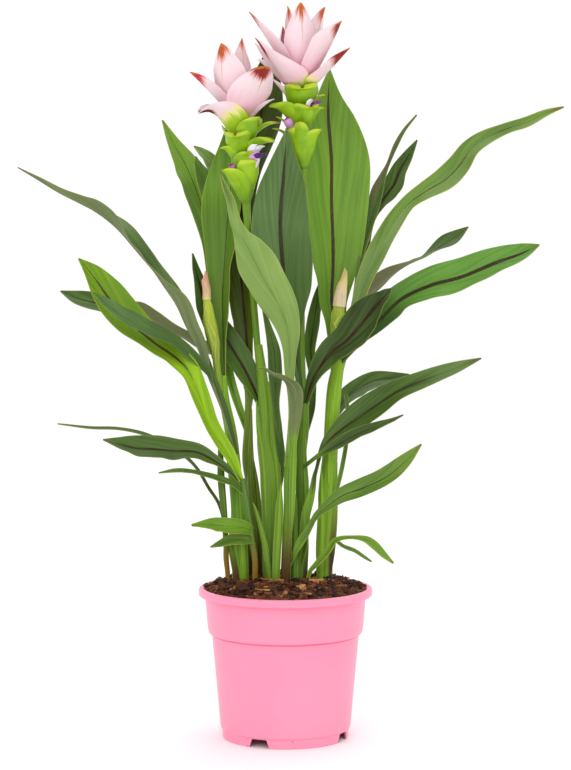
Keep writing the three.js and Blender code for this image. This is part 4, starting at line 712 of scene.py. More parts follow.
# %% Leaf shapes, and their stations from base to tip
# A station is [x, y, z, half-width, turn in degrees].
BROAD = {"fold": 10, "cup": 14, "wave": 1, "columns": 22, "edges_on_line": True, "rib": 0.35}
NARROW = {"fold": 12, "cup": 10, "wave": 0, "columns": 14, "edges_on_line": True, "rib": 0.25}
PLAIN = {"wave": 0, "columns": 22, "edges_on_line": False, "rib": 0.35}
LEAVES = {
    "leaf_centre_front": (dict(BROAD, fold=8), [
        (1, -8, 188, 2, -170), (4, -12, 224, 2.2, -170), (3, -15, 252, 3.5, -170),
        (3, -20, 269, 5, -170), (2, -24, 282, 8, -170), (-1, -28, 293, 11, -170),
        (-6, -32, 304, 13, -170), (-13, -36, 316, 14, -168), (-19, -39, 328, 14, -166),
        (-24, -42, 338, 10.5, -164), (-29, -44, 346, 6.5, -162), (-33, -46, 355, 4.5, -160),
        (-36, -48, 368, 3, -160), (-40, -50, 378, 1.6, -160), (-43, -50, 386, 0.6, -160),
    ]),
    "leaf_centre_folded": (NARROW, [
        (3, -9, 168, 0.6, -178), (4, -12, 187, 2.3, -175), (5, -16, 207, 3.1, -172),
        (7, -22, 227, 4.6, -160), (7, -30, 242, 6, -140), (1, -36, 250, 6, -115),
        (-8, -40, 254, 5, -105), (-14, -43, 258, 3, -100), (-19, -45, 258, 0.6, -95),
    ]),
    "leaf_centre_dark": (dict(BROAD, fold=12), [
        (12, -2, 228, 2.5, 0), (8, -6, 258, 3, 0), (6, -8, 275, 5, 0), (3, -9, 292, 11, 0),
        (0, -9, 309, 18.5, 0), (-2, -9, 328, 22, 0), (-3.5, -8, 350, 21, 0), (-3, -6, 367, 19.5, 0),
        (-1.5, -3, 384, 15.5, 0), (-0.5, 0, 399, 9, 0), (1, 2, 419, 0.6, 0),
    ]),
    "leaf_centre_tall": (dict(BROAD, fold=20, cup=10, edges_on_line=False), [
        (34, 10, 250, 3, -15), (34, 20, 284, 7.5, -15), (32, 24, 302, 12, -16),
        (33, 28, 322, 17, -17), (33, 31, 343, 22, -18), (32, 34, 371, 27, -18),
        (32, 37, 399, 27, -18), (30, 41, 427, 19, -18), (30, 44, 445, 9.5, -18),
        (31, 48, 463, 0.7, -18),
    ]),
    "leaf_behind_left_bloom": (dict(BROAD, fold=30, cup=8, edges_on_line=False), [
        (-42, 6, 243, 2.5, 32), (-43, 8, 274, 6, 32), (-43.5, 10, 302, 9.8, 32),
        (-42, 12, 328, 13.5, 32), (-39.5, 14, 361, 18.5, 32), (-37, 15, 385, 18, 32),
        (-34, 16, 412, 10, 32), (-32, 18, 440, 0.7, 32),
    ]),
    "leaf_behind_scape": (BROAD, [
        (-24, 18, 236, 2.5, 20), (-27, 22, 267, 5, 20), (-30, 25, 295, 9, 20),
        (-32, 27, 322, 9.5, 20), (-32, 28, 350, 9.5, 20), (-29, 29, 385, 10.5, 18),
        (-23, 30, 409, 14, 14), (-18, 31, 430, 16.5, 10), (-14, 32, 451, 12, 8),
        (-13, 34, 475, 0.7, 6),
    ]),
    "leaf_left_long": (dict(PLAIN, fold=38, cup=4), [
        (-34, -3, 196, 2.4, -60), (-43, -5, 225, 4.8, -60), (-53, -5, 250, 6.2, -76),
        (-60, -4, 269, 9, -102), (-68, -2, 284, 12, -102), (-75, 0, 299, 12.5, -98),
        (-84, 4, 312, 9.5, -74), (-91, 8, 322, 7.5, -62), (-98, 12, 330, 8.5, -58),
        (-106, 16, 339, 9.5, -62), (-118, 21, 352, 12, -86), (-131, 26, 362, 10.5, -102),
        (-142, 30, 368, 7.5, -106), (-158, 34, 376, 5, -106), (-173, 38, 385, 3, -104),
        (-188, 42, 394, 0.6, -100),
    ]),
    "leaf_left_bright": (BROAD, [
        (-30, -12, 179, 3, -60), (-37, -15, 196, 4.8, -50), (-45, -18, 209, 6.8, -46),
        (-51, -20, 221, 7.6, -44), (-58, -25, 241, 7.8, -42), (-65, -29, 257, 8.2, -42),
        (-75, -33, 267, 9, -42), (-87, -38, 276, 11, -40), (-99, -43, 287, 12.3, -38),
        (-110, -48, 298, 13.2, -36), (-118, -52, 309, 12.3, -35), (-126, -55, 320, 8.5, -35),
        (-136, -60, 331, 0.6, -35),
    ]),
    "leaf_left_dark": (NARROW, [
        (-44, -4, 237, 2.4, -52), (-51, -12, 252, 3.6, -52), (-63, -26, 266, 5.5, -52),
        (-76, -43, 278, 6, -52), (-89, -56, 285, 7.5, -54), (-98, -62, 290, 8, -54),
        (-107, -68, 295, 6.5, -50), (-116, -73, 302, 4.6, -50), (-125, -76, 309, 0.6, -52),
    ]),
    "leaf_left_back": (NARROW, [
        (-26, 18, 222, 2.4, -140), (-25, 24, 238, 3, -140), (-33, 29, 253, 4, -140),
        (-47, 33, 264, 5, -140), (-62, 37, 272, 5, -140), (-77, 41, 280, 5, -140),
        (-92, 45, 289, 6, -140), (-104, 48, 295, 9, -125), (-119, 52, 297, 11.5, -60),
        (-134, 56, 300, 9, -45), (-148, 60, 303, 7, -45), (-161, 65, 307, 0.6, -45),
    ]),
    "leaf_left_upright": (NARROW, [
        (-17, 11, 228, 2, -20), (-21, 11, 240, 5, -20), (-27, 11, 253, 8.5, -20),
        (-34, 12, 265, 9.5, -20), (-41, 14, 276, 9, -22), (-49, 18, 286, 9, -26),
        (-55, 21, 297, 8, -30), (-58, 25, 309, 6, -34), (-62, 30, 322, 3.5, -38),
        (-65, 34, 334, 0.6, -40),
    ]),
    "leaf_left_whip": (NARROW, [
        (-42, -12, 152, 1.8, -55), (-46, -6, 163, 1.7, -55), (-53, 0, 173, 1.7, -55),
        (-60, 6, 184, 1.7, -55), (-69, 12, 193, 1.8, -55), (-82, 18, 201, 1.9, -55),
        (-99, 26, 208, 1.9, -55), (-118, 34, 211, 1.7, -55), (-138, 42, 211, 1.5, -55),
        (-162, 50, 213, 0.5, -55),
    ]),
    "leaf_left_low": (NARROW, [
        (-29, -11, 176, 2, -50), (-37, -18, 186, 3, -50), (-48, -26, 195, 5, -50),
        (-60, -34, 202, 7.5, -50), (-74, -42, 204, 10, -50), (-87, -49, 206, 10.8, -50),
        (-99, -55, 207, 9.5, -50), (-108, -60, 209, 6, -50), (-120, -66, 212, 0.6, -50),
    ]),
    "leaf_left_sliver": (NARROW, [
        (-28, -10, 170, 2, -50), (-35, -15, 177, 2.6, -50), (-44, -19, 181, 3, -50),
        (-54, -18, 184, 2.4, -50), (-66, -14, 186, 2, -50), (-76, -11, 186, 2, -50),
        (-87, -8, 184, 0.5, -50),
    ]),
    "leaf_left_short": (NARROW, [
        (-22, -7, 143, 2.8, -35), (-27, -14, 147, 5, -35), (-34, -21, 149, 6, -35),
        (-46, -28, 151, 5.5, -35), (-54, -34, 152, 3.4, -35), (-63, -40, 152, 0.8, -35),
    ]),
    "leaf_left_lowest": (NARROW, [
        (-21, -6, 137, 2.4, -40), (-29, -12, 139, 4.5, -40), (-37, -16, 139, 4.5, -40),
        (-44, -20, 137, 3, -40), (-51, -24, 135, 0.6, -40),
    ]),
    "leaf_upper_left": (BROAD, [
        (-27, 18, 212, 2.4, -30), (-37, 21, 242, 3, -30), (-43, 24, 272, 4, -30),
        (-48, 30, 308, 5.6, -30), (-51, 38, 343, 9.3, -30), (-59, 47, 371, 11.6, -30),
        (-65, 53, 387, 11.5, -30), (-71, 60, 399, 9, -30), (-79, 65, 412, 6, -30),
        (-88, 72, 429, 0.6, -30),
    ]),
    "leaf_upper_left_back": (NARROW, [
        (-27, 19, 240, 2.2, -35), (-34, 28, 282, 2.6, -35), (-37, 33, 324, 3.5, -35),
        (-38, 36, 361, 6, -35), (-45, 44, 385, 7.5, -35),
        (-52, 50, 399, 6, -35), (-59, 56, 406, 3.5, -35), (-65, 62, 410, 0.7, -35),
    ]),
    "leaf_upper_left_tip": (NARROW, [
        (-42, 6, 234, 2, -30), (-45, 15, 262, 2.4, -30), (-44, 21, 300, 3.5, -30),
        (-46, 30, 343, 5, -30), (-52, 34, 371, 7.5, -30),
        (-57, 36, 387, 6.5, -30), (-61, 38, 396, 3.4, -30), (-63, 40, 402, 0.6, -30),
    ]),
    "leaf_centre_hidden": (NARROW, [
        (-6, 5, 166, 2.4, 10), (-3, 1, 190, 3, 10), (-5, -2, 212, 3, 10), (-7, -4, 233, 3, 10),
        (-7, -8, 251, 5, 10), (-8, -10, 268, 4.5, 10), (-12, -12, 285, 2.4, 10),
        (-16, -14, 299, 0.5, 10),
    ]),
    "leaf_right_hidden": (NARROW, [
        (13, 1, 208, 2, 30), (18, 11, 226, 2.5, 30), (19, 20, 247, 3, 30), (17, 22, 267, 4.6, 30),
        (19, 24, 285, 5.4, 30), (22, 25, 302, 4, 30), (25, 26, 317, 0.5, 30),
    ]),
    "leaf_right_long": (BROAD, [
        (39, 9, 262, 2.4, 30), (42, 6, 274, 3.2, 30), (48, 4, 295, 4.8, 30), (54, 2, 316, 6.2, 30),
        (61, 0, 332, 7.3, 30), (68, -2, 346, 7.4, 30), (75, -4, 358, 7.2, 30),
        (84, -6, 369, 6.7, 30), (95, -8, 377, 7.3, 30), (108, -10, 385, 8.9, 30),
        (117, -11, 394, 8.6, 30), (125, -12, 405, 7.8, 30), (136, -13, 413, 6.6, 30),
        (150, -13, 419, 4.7, 30), (163, -14, 423, 3.9, 30), (176, -14, 429, 2.3, 30),
        (188, -14, 433, 0.6, 30),
    ]),
    "leaf_right_twisted": (NARROW, [
        (36, 10, 252, 2, 30), (41, 11, 268, 1.6, 25), (47, 15, 298, 1.6, 20), (52, 25, 328, 2.1, 20),
        (57, 33, 348, 3, 20), (61, 36, 364, 4.2, 20), (64, 37, 377, 4.8, 20),
        (68, 38, 388, 2.6, 20), (72, 39, 397, 1.3, 20), (77, 40, 409, 1.8, 20),
        (83, 42, 420, 1.3, 20), (92, 44, 431, 0.6, 20),
    ]),
    "leaf_right_behind": (BROAD, [
        (37, 9, 254, 2.2, 35), (42, 15, 268, 2, 35), (48, 21, 295, 2, 35), (55, 34, 328, 2.6, 35),
        (61, 43, 356, 2.8, 35), (66, 45, 369, 5.5, 35), (72, 47, 378, 8.6, 35),
        (76, 48, 384, 9, 35), (80, 50, 393, 7.2, 35), (85, 51, 401, 4.6, 35), (93, 53, 414, 0.6, 35),
    ]),
    "leaf_right_spoon": (BROAD, [
        (34, 9, 236, 2.4, 130), (38, 15, 254, 2.8, 130), (42, 23, 270, 3.4, 130),
        (46, 31, 284, 4.9, 130), (51, 36, 296, 6.4, 131), (57, 42, 307, 7.6, 132),
        (65, 47, 314, 7.1, 134), (75, 53, 321, 6.7, 124), (86, 59, 327, 5.4, 108),
        (94, 64, 330, 4, 92), (100, 67, 333, 5, 75), (109, 72, 339, 6.3, 55),
        (116, 76, 343, 7, 48), (123, 80, 347, 5.2, 48), (132, 84, 353, 0.6, 48),
    ]),
    "leaf_right_broad": (BROAD, [
        (38, 4, 260, 3, 40), (49, -8, 275, 5.5, 40), (63, -18, 290, 9, 40), (77, -28, 305, 12, 40),
        (96, -42, 315, 13.4, 40), (116, -55, 321, 13.3, 40), (137, -68, 330, 11.6, 40),
        (152, -78, 335, 7, 40), (164, -84, 340, 0.6, 40),
    ]),
    "leaf_right_dark": (BROAD, [
        (13, -5, 232, 3.2, 36), (19, -13, 251, 6, 36), (29, -21, 267, 9.6, 36),
        (40, -29, 277, 12.9, 36), (50, -36, 289, 13.6, 36), (58, -43, 299, 10.3, 36),
        (65, -48, 306, 4.8, 36), (70, -52, 311, 0.6, 36),
    ]),
    "leaf_right_back": (NARROW, [
        (34, 12, 222, 3.4, 35), (41, 24, 233, 6.5, 35), (51, 34, 240, 7.5, 35),
        (63, 45, 245, 7, 35), (76, 55, 246, 5, 35), (89, 65, 247, 0.9, 35),
    ]),
    "leaf_right_middle": (BROAD, [
        (10, -1, 119, 1.8, 20), (12, -4, 132, 3.2, 20), (13, -5, 144, 3.6, 20),
        (14, -6, 155, 3.2, 20), (17, -7, 166, 2.7, 20), (19, -7, 176, 2.1, 22),
        (21, -6, 186, 1.8, 25), (26, -6, 202, 2.9, 32), (36, -7, 213, 7, 38),
        (50, -9, 224, 11, 38), (63, -9, 233, 11.5, 38), (78, -7, 242, 9, 40),
        (99, -3, 250, 7, 42), (117, 2, 256, 4.5, 42), (135, 6, 262, 0.6, 42),
    ]),
    "leaf_right_slim": (NARROW, [
        (12, -2, 187, 1.8, 45), (22, -11, 196, 2, 45), (34, -16, 204, 4.5, 45),
        (47, -22, 212, 5, 45), (61, -28, 218, 3.6, 45), (71, -32, 222, 1.9, 45),
        (79, -36, 226, 0.5, 45),
    ]),
    "leaf_right_petiole": (NARROW, [
        (30, 3, 152, 1.4, 0), (33, 1, 164, 1.4, 0), (37, 0, 178, 1.5, 0), (40, 1, 192, 1.5, 0),
        (42, 3, 204, 1.4, 0), (43, 9, 216, 1.4, 0), (43, 15, 227, 1.4, 0), (42, 21, 236, 1.4, 0),
    ]),
    "leaf_right_low": (BROAD, [
        (2, -6, 117, 1.4, 38), (5, -9, 126, 2.3, 38), (9, -12, 135, 2.8, 38),
        (14, -15, 143, 2.8, 38), (19, -18, 153, 2.9, 38), (25, -20, 160, 3.5, 38),
        (38, -27, 171, 5.5, 38), (51, -34, 177, 7.8, 38),
        (66, -42, 185, 7.6, 38), (79, -49, 196, 5, 38), (90, -56, 208, 0.6, 38),
    ]),
    "leaf_right_drooping": (NARROW, [
        (14, -6, STEM_FOOT + 10, 1.5, 50), (16, -7, 114, 1.8, 50), (20, -9, 120, 2.5, 50),
        (26, -11, 127, 3, 50), (31, -13, 134, 3, 50), (35, -15, 139, 2.4, 50),
        (45, -18, 141, 1.7, 50), (55, -22, 140, 3.4, 50),
        (61, -25, 136, 4.2, 50), (67, -28, 130, 3.2, 50), (73, -31, 125, 0.9, 50),
    ]),
    "leaf_right_drooping_slim": (NARROW, [
        (35, -16, 138, 1.6, 50), (40, -21, 135, 1.8, 50), (47, -27, 133, 1.8, 50),
        (54, -33, 129, 1.5, 50), (58, -37, 127, 0.6, 50),
    ]),
}

# %% Look of each leaf
# Each leaf has a finish, the half-width of its midrib stripe in millimetres, and how dry its
# tip is, from 0 to 1.
LEAF_LOOK_OF = {
    "leaf_centre_front": ("mid", 0, 0),
    "leaf_centre_folded": ("grey", 0, 0),
    "leaf_centre_dark": ("blue", 1.4, 0),
    "leaf_centre_tall": ("fresh", 1.3, 0),
    "leaf_behind_left_bloom": ("fresh", 0.4, 0),
    "leaf_behind_scape": ("olive", 1.0, 0),
    "leaf_left_long": ("grey", 0.9, 0.8),
    "leaf_left_bright": ("bright", 1.1, 0),
    "leaf_left_dark": ("blue", 0, 0),
    "leaf_left_back": ("deep", 0.8, 0),
    "leaf_left_upright": ("deep", 1.0, 0),
    "leaf_left_whip": ("grey", 0, 0.7),
    "leaf_left_low": ("grey", 0.9, 0.4),
    "leaf_left_sliver": ("mid", 0, 0.4),
    "leaf_left_short": ("fresh", 0, 0.8),
    "leaf_left_lowest": ("mid", 0, 0.3),
    "leaf_upper_left": ("fresh", 0.2, 0.2),
    "leaf_upper_left_back": ("mid", 0, 0),
    "leaf_upper_left_tip": ("mid", 0, 0),
    "leaf_centre_hidden": ("deep", 0.3, 0),
    "leaf_right_hidden": ("deep", 0.3, 0),
    "leaf_right_long": ("mid", 0.5, 0.6),
    "leaf_right_twisted": ("grey", 0, 0.5),
    "leaf_right_behind": ("deep", 1.1, 0),
    "leaf_right_spoon": ("grey", 0.5, 0.3),
    "leaf_right_broad": ("cool", 1.5, 0.3),
    "leaf_right_dark": ("night", 1.3, 0),
    "leaf_right_back": ("deep", 0.3, 0),
    "leaf_right_middle": ("deep", 1.0, 0.3),
    "leaf_right_slim": ("night", 0.3, 0),
    "leaf_right_petiole": ("mid", 0, 0),
    "leaf_right_low": ("mid", 0.3, 0.3),
    "leaf_right_drooping": ("fresh", 0, 0.8),
    "leaf_right_drooping_slim": ("mid", 0, 0.4),
}

# Parts of a leaf that are paler or fresher than the rest, parts painted browner or darker as
# shade, or parts that have its stripe: [from, to, side, strength]. The ends are shares of the
# leaf's length, and a side is -1, 1 or 0 for both halves. A leaf that "striped" doesn't name has
# its stripe all along.
PATCHES = {
    "pale": {
        "leaf_left_long": [(0.18, 0.44, 1, 0.35), (0.62, 0.98, 1, 0.5)],
        "leaf_right_long": [
            (0.0, 0.27, 0, 0.45), (0.27, 0.44, 1, 0.8), (0.47, 0.64, 1, 0.5),
            (0.67, 0.77, 1, 0.6), (0.83, 0.93, 1, 0.5),
        ],
        "leaf_right_middle": [(0.86, 1.0, 0, 0.4)],
    },
    # Painted shade in brown-grey, on parts of leaves that lie in shade.
    "painted_brown_shade": {
        "leaf_left_back": [(0.3, 0.66, 0, 0.55)],
        "leaf_right_twisted": [(0.5, 0.85, -1, 0.8)],
        "leaf_right_spoon": [(0.12, 0.6, 0, 0.6)],
        "leaf_right_behind": [(0.0, 0.5, 0, 0.3)],
    },
    # Painted shade in dark green, on parts of leaves that lie in shade.
    "deep": {
        "leaf_centre_front": [(0.84, 1.1, 0, 0.5)],
        "leaf_left_bright": [(0.48, 1.1, -1, 0.35), (0.45, 1.1, 1, 0.4)],
        "leaf_right_broad": [(0.0, 0.34, 0, 0.6)],
        "leaf_left_long": [(0.0, 0.18, 0, 0.45)],
        "leaf_centre_dark": [(0.0, 1.0, 1, 0.3)],
        "leaf_behind_left_bloom": [(0.0, 0.6, 0, 0.4), (0.6, 0.8, 1, 0.3)],
        "leaf_left_dark": [(0.0, 0.5, 0, 0.4)],
        "leaf_left_low": [(0.4, 1.0, -1, 0.4)],
        "leaf_right_middle": [(0.55, 0.8, 0, 0.35)],
    },
    "young": {
        "leaf_centre_folded": [(-1, 0.26, 0, 0.95)],
        "leaf_right_middle": [(-1, 0.34, 0, 0.7)],
        "leaf_right_low": [(-1, 0.24, 0, 0.5)],
        "leaf_right_slim": [(-1, 0.2, 0, 0.5)],
    },
    "striped": {
        "leaf_left_bright": [(0.43, 1.1, 0, 1)],
        "leaf_right_long": [(0.44, 0.66, 0, 1), (0.8, 0.95, 0, 1)],
    },
}
WHOLE_LEAF = [(-1, 2, 0, 1)]

# How clear the pale margin of a leaf is, from 0 to 1.
MARGINS = {
    "leaf_left_short": 0.5, "leaf_right_drooping": 0.6, "leaf_left_dark": 0.0,
    "leaf_right_long": 0.5, "leaf_centre_front": 0.5, "leaf_behind_left_bloom": 0.4,
}
USUAL_MARGIN = 0.2
LEAF_SLOTS = {"bright": "bright_leaf", "fresh": "leaf", "mid": "leaf", "cool": "leaf"}
LEAF_THICKNESS = 0.5
LEAF_ROW_STEP = 2.4
print("Leaves:", len(LEAVES), "without a look:", set(LEAVES) - set(LEAF_LOOK_OF) or "none")

# %% [markdown]
# A leaf's edge isn't a drawn curve. It waves a little, more on the broad leaves, and each leaf
# in its own rhythm. The waves are a sum of two sines whose phases come from one seeded draw, so
# the plant is the same on each run.

# %% Make the leaves
LEFT_EDGE_WAVES, RIGHT_EDGE_WAVES = (5, 8.3), (4.4, 7.7)
FAST_WAVE_SHARE = 0.6
HIGHEST_EDGE_WAVE, EDGE_WAVE_SHARE = 0.5, 0.04
PLEATS, PLEAT_HEIGHT = 2, 0.1
PATCH_END_SOFTNESS, PATCH_SIDE_SOFTNESS = 0.02, 0.04
draw = random.Random(11)


def two_waves(t, counts, starts):
    """A slow wave and a weaker fast one along a leaf."""
    slow = np.sin(2 * math.pi * counts[0] * t + starts[0])
    return slow + FAST_WAVE_SHARE * np.sin(2 * math.pi * counts[1] * t + starts[1])


def edge_waves(height_mm):
    """Small waves that grow towards the edges and die out at both ends of a leaf."""
    starts = [draw.uniform(0, 2 * math.pi) for _ in range(4)]

    def bend(points, t, s):
        body = np.sin(math.pi * t)[:, None]
        left = two_waves(t, LEFT_EDGE_WAVES, starts[:2])[:, None]
        right = two_waves(t, RIGHT_EDGE_WAVES, starts[2:])[:, None]
        wave = np.where(s < 0, left, right) * (np.abs(s) ** 2 * body) * height_mm
        pleats = PLEAT_HEIGHT * np.cos(2 * math.pi * PLEATS * np.abs(s)) * body
        return points + face_of(points) * (wave + pleats)[..., None]

    return bend


def face_of(points):
    """The unit normals of a sheet of points."""
    along = np.gradient(points, axis=0)
    across = np.gradient(points, axis=1)
    return unit(np.cross(across, along))


def strength_of(patches, t, s):
    """How strongly a leaf's patches colour each point of its sheet."""
    total = 0 * t * s
    for start, end, side, strength in patches:
        begun = 1 / (1 + np.exp((start - t) / PATCH_END_SOFTNESS))
        ended = 1 / (1 + np.exp((t - end) / PATCH_END_SOFTNESS))
        sidewise = 1 / (1 + np.exp(-side * s / PATCH_SIDE_SOFTNESS))
        total = np.maximum(total, strength * begun * ended * (sidewise if side else 1))
    return total


def patches_on(name):
    def paint(t, s):
        values = {key: strength_of(table.get(name, ()), t, s) for key, table in PATCHES.items()}
        if name not in PATCHES["striped"]:
            values["striped"] = strength_of(WHOLE_LEAF, t, s)
        return values

    return paint


for name, (shape, stations) in LEAVES.items():
    finish, stripe, dry = LEAF_LOOK_OF[name]
    places = np.asarray(stations, float)[:, :3]
    length = np.linalg.norm(np.diff(places, axis=0), axis=1).sum()
    widest = max(station[3] for station in stations)
    rows = int(length / LEAF_ROW_STEP)
    waves = edge_waves(min(HIGHEST_EDGE_WAVE, widest * EDGE_WAVE_SHARE))
    piece = blade(name + "_fine", stations, shape, rows, shape["columns"], LEAF_THICKNESS, waves,
                  patches_on(name))
    keep(piece, stripe=stripe, dry=dry, seed=draw.random(), margin=MARGINS.get(name, USUAL_MARGIN))
    piece.data.materials.append(LEAF_LOOKS[finish])
    hand_over(piece, LEAF_SLOTS.get(finish, "dark_leaf"), name)

# %% [markdown]
# The bracts of the spikes. The lower ones are green pouches whose lips curl outwards, and the
# upper ones are pale pink, pointed, with brown or red tips. Each follows a curve from the axis
# through its belly to its tip, as in the imported model. The lip's curl, the finer outline and
# the streaks of colour are added here, and on the green ones painted shade towards the foot and
# pale streaks that are partly painted highlight. Each bract carries its own numbers for the colours.

# %% Bract finishes
def bract_streaks(look, fineness=9.0):
    """Streaks that run along a bract, different on each one."""
    where = look.vector(look.attribute("across") * fineness, look.attribute("along") * 1.6,
                        look.attribute("seed") * 40)
    return look.noise(1, 3, vector=where)


def pink_bract_finish():
    look = Finish("bract_pink", Specular_IOR_Level=0.25, Subsurface_Weight=0.1,
                  Subsurface_Scale=0.003)
    along, across = look.attribute("along"), look.attribute("across")
    distance = abs(across) * look.attribute("span")
    streak = bract_streaks(look)
    fine = bract_streaks(look, 24.0)
    cloud = look.noise(50, 2)
    base = (along + (streak - 0.5) * 0.3).step(0.72, 0.12)
    base = base * (look.attribute("seed") * 0.5 + 0.5)
    colour = look.mix(base, srgb(232, 210, 215), srgb(228, 158, 176))
    colour = look.mix(cloud.step(0.45, 0.75) * 0.3, colour, srgb(238, 222, 226))
    colour = look.mix(fine.step(0.5, 0.72) * 0.24, colour, srgb(220, 172, 186))
    colour = look.mix(look.attribute("under") * 0.2, colour, srgb(238, 200, 208))
    lime = look.attribute("lime")
    shift = along + (streak - 0.5) * 0.3 - lime
    colour = look.mix(shift.step(0.14, 0.0), colour, srgb(226, 214, 136))
    colour = look.mix(shift.step(0.02, -0.1), colour, srgb(156, 190, 30))
    patch = look.attribute("patch")
    midline = distance.step(0.6, 0.1) * (along - patch).step(-0.36, -0.04)
    colour = look.mix(midline * 0.75, colour, srgb(190, 152, 70))
    tip = look.attribute("tip")
    tip_colour = look.mix(tip.step(-0.5, 0.0), srgb(70, 26, 20), srgb(134, 32, 20))
    tip_colour = look.mix(tip.step(0.0, 0.5), tip_colour, srgb(180, 84, 28))
    tip_colour = look.mix(tip.step(0.5, 1.0), tip_colour, srgb(190, 36, 60))
    reach = along + (streak - 0.5) * 0.24 - abs(across) * look.attribute("narrow") - patch
    blush = look.mix(0.5, tip_colour, srgb(232, 150, 130))
    colour = look.mix(reach.step(-0.07, 0.0) * 0.7, colour, blush)
    colour = look.mix(reach.step(-0.01, 0.04), colour, tip_colour)
    rim = (abs(across) * 0.8 + (along - 0.9).step(0.0, 0.1)).step(0.72, 1.0)
    colour = look.mix(rim * reach.step(0.0, 0.05) * 0.75, colour, srgb(190, 112, 40))
    return look.end(colour, fine * 0.15 + 0.45, fine * 0.6 + cloud * 0.4, relief_mm=0.1)


def green_bract_finish():
    look = Finish("bract_green", Specular_IOR_Level=0.3, Subsurface_Weight=0.06,
                  Subsurface_Scale=0.002)
    along, across = look.attribute("along"), look.attribute("across")
    streak = bract_streaks(look, 7.0)
    fine = bract_streaks(look, 20.0)
    cloud = look.noise(70, 2)
    colour = look.mix(cloud.step(0.3, 0.7), srgb(150, 190, 14), srgb(116, 158, 12))
    # Painted shade: a green bract is darker towards its foot.
    low = (along + (streak - 0.5) * 0.3).step(0.55, 0.1)
    colour = look.mix(low * 0.6, colour, srgb(92, 134, 8))
    # Pale fine streaks along a green bract: partly its veins, partly painted highlight.
    colour = look.mix(fine.step(0.52, 0.75) * 0.35, colour, srgb(176, 208, 60))
    lip = (along + abs(across) * 0.12).step(0.84, 0.98)
    colour = look.mix(lip * 0.6, colour, srgb(192, 210, 50))
    edge = (abs(across).step(0.94, 0.995) + along.step(0.965, 0.99)).step(0.3, 1.0)
    colour = look.mix(edge * look.attribute("brown"), colour, srgb(132, 88, 44))
    far = along.step(0.86, 1.0) * (look.attribute("brown") - 0.8).step(0.0, 0.2)
    colour = look.mix(far * 0.8, colour, srgb(122, 74, 48))
    stem_green = look.mix(streak, srgb(84, 120, 24), srgb(110, 148, 36))
    colour = look.mix(look.attribute("scape") * 0.85, colour, stem_green)
    return look.end(colour, streak * 0.15 + 0.24, fine * 0.6 + cloud * 0.4, relief_mm=0.14)


BRACT_LOOKS = {"pink": pink_bract_finish(), "green": green_bract_finish()}
print("Bract finishes:", ", ".join(BRACT_LOOKS))

# %% Bract shapes and the two spikes
# A bract's numbers are [turn about the axis, height, belly radius, belly rise, tip radius,
# tip rise, half-width, cup if it differs]. A turn of 0 faces the viewer. A green bract also has
# how brown its lip is and how far the middle of the lip hangs, in millimetres. It is a cup if
# its lip hangs and a pouch if not. A pink one has its shape, where its coloured tip starts,
# where its lime foot ends, and its tip's colour: -0.5 is dark brown, 0 is red-brown, 0.5 is
# orange-brown and 1 is rosy. A tip that starts at NO_TIP or a foot that ends at NO_LIME lies
# beyond the bract, so it doesn't show.
BRACT_ROOT_RADIUS = 4
BRACT_THICKNESS = 0.5
POINTED = {"widths": (0.45, 0.9, 1, 0.82, 0.14), "fold": 4, "cup": 56, "lip": 0.3, "narrow": 0.14}
SLENDER = {"widths": (0.45, 0.9, 1, 0.66, 0.04), "fold": 4, "cup": 56, "lip": 0.3, "narrow": 0.12}
FLAME = {"widths": (0.5, 1, 0.86, 0.7, 0.05), "fold": 4, "cup": 52, "lip": 0.3, "narrow": 0.06}
DRIP = {"widths": (0.45, 0.86, 1, 0.98, 0.03), "fold": 4, "cup": 54, "lip": 0.3, "narrow": 0.2}
FOLDED = {"widths": (0.7, 1, 0.8, 0.4, 0.03), "fold": 14, "cup": 56, "lip": 0.3, "narrow": 0.5}
BLUNT = {"widths": (0.42, 0.86, 1, 0.78, 0.26), "fold": 4, "cup": 56, "lip": 0.4, "narrow": 0.18}
HOOD = {"widths": (0.75, 1, 0.95, 0.5, 0.14), "fold": 22, "cup": 40, "lip": 0, "narrow": 0.5}
POUCH = {"widths": (0.42, 0.84, 1, 0.85, 0.3), "fold": 6, "cup": 66, "lip": 2.2, "narrow": 0}
CUP = {"widths": (0.42, 0.82, 1, 1, 0.84), "fold": 2, "cup": 66, "lip": 0.9, "narrow": 0}
NO_TIP, NO_LIME = 1.6, -0.4
CURL_START, CURL_SHARE = 0.72, 0.28
ROUNDING_START, ROUNDING_SHARE = 0.93, 0.07
BRACT_WAVES, BRACT_WAVE_HEIGHT = 2.2, 0.35

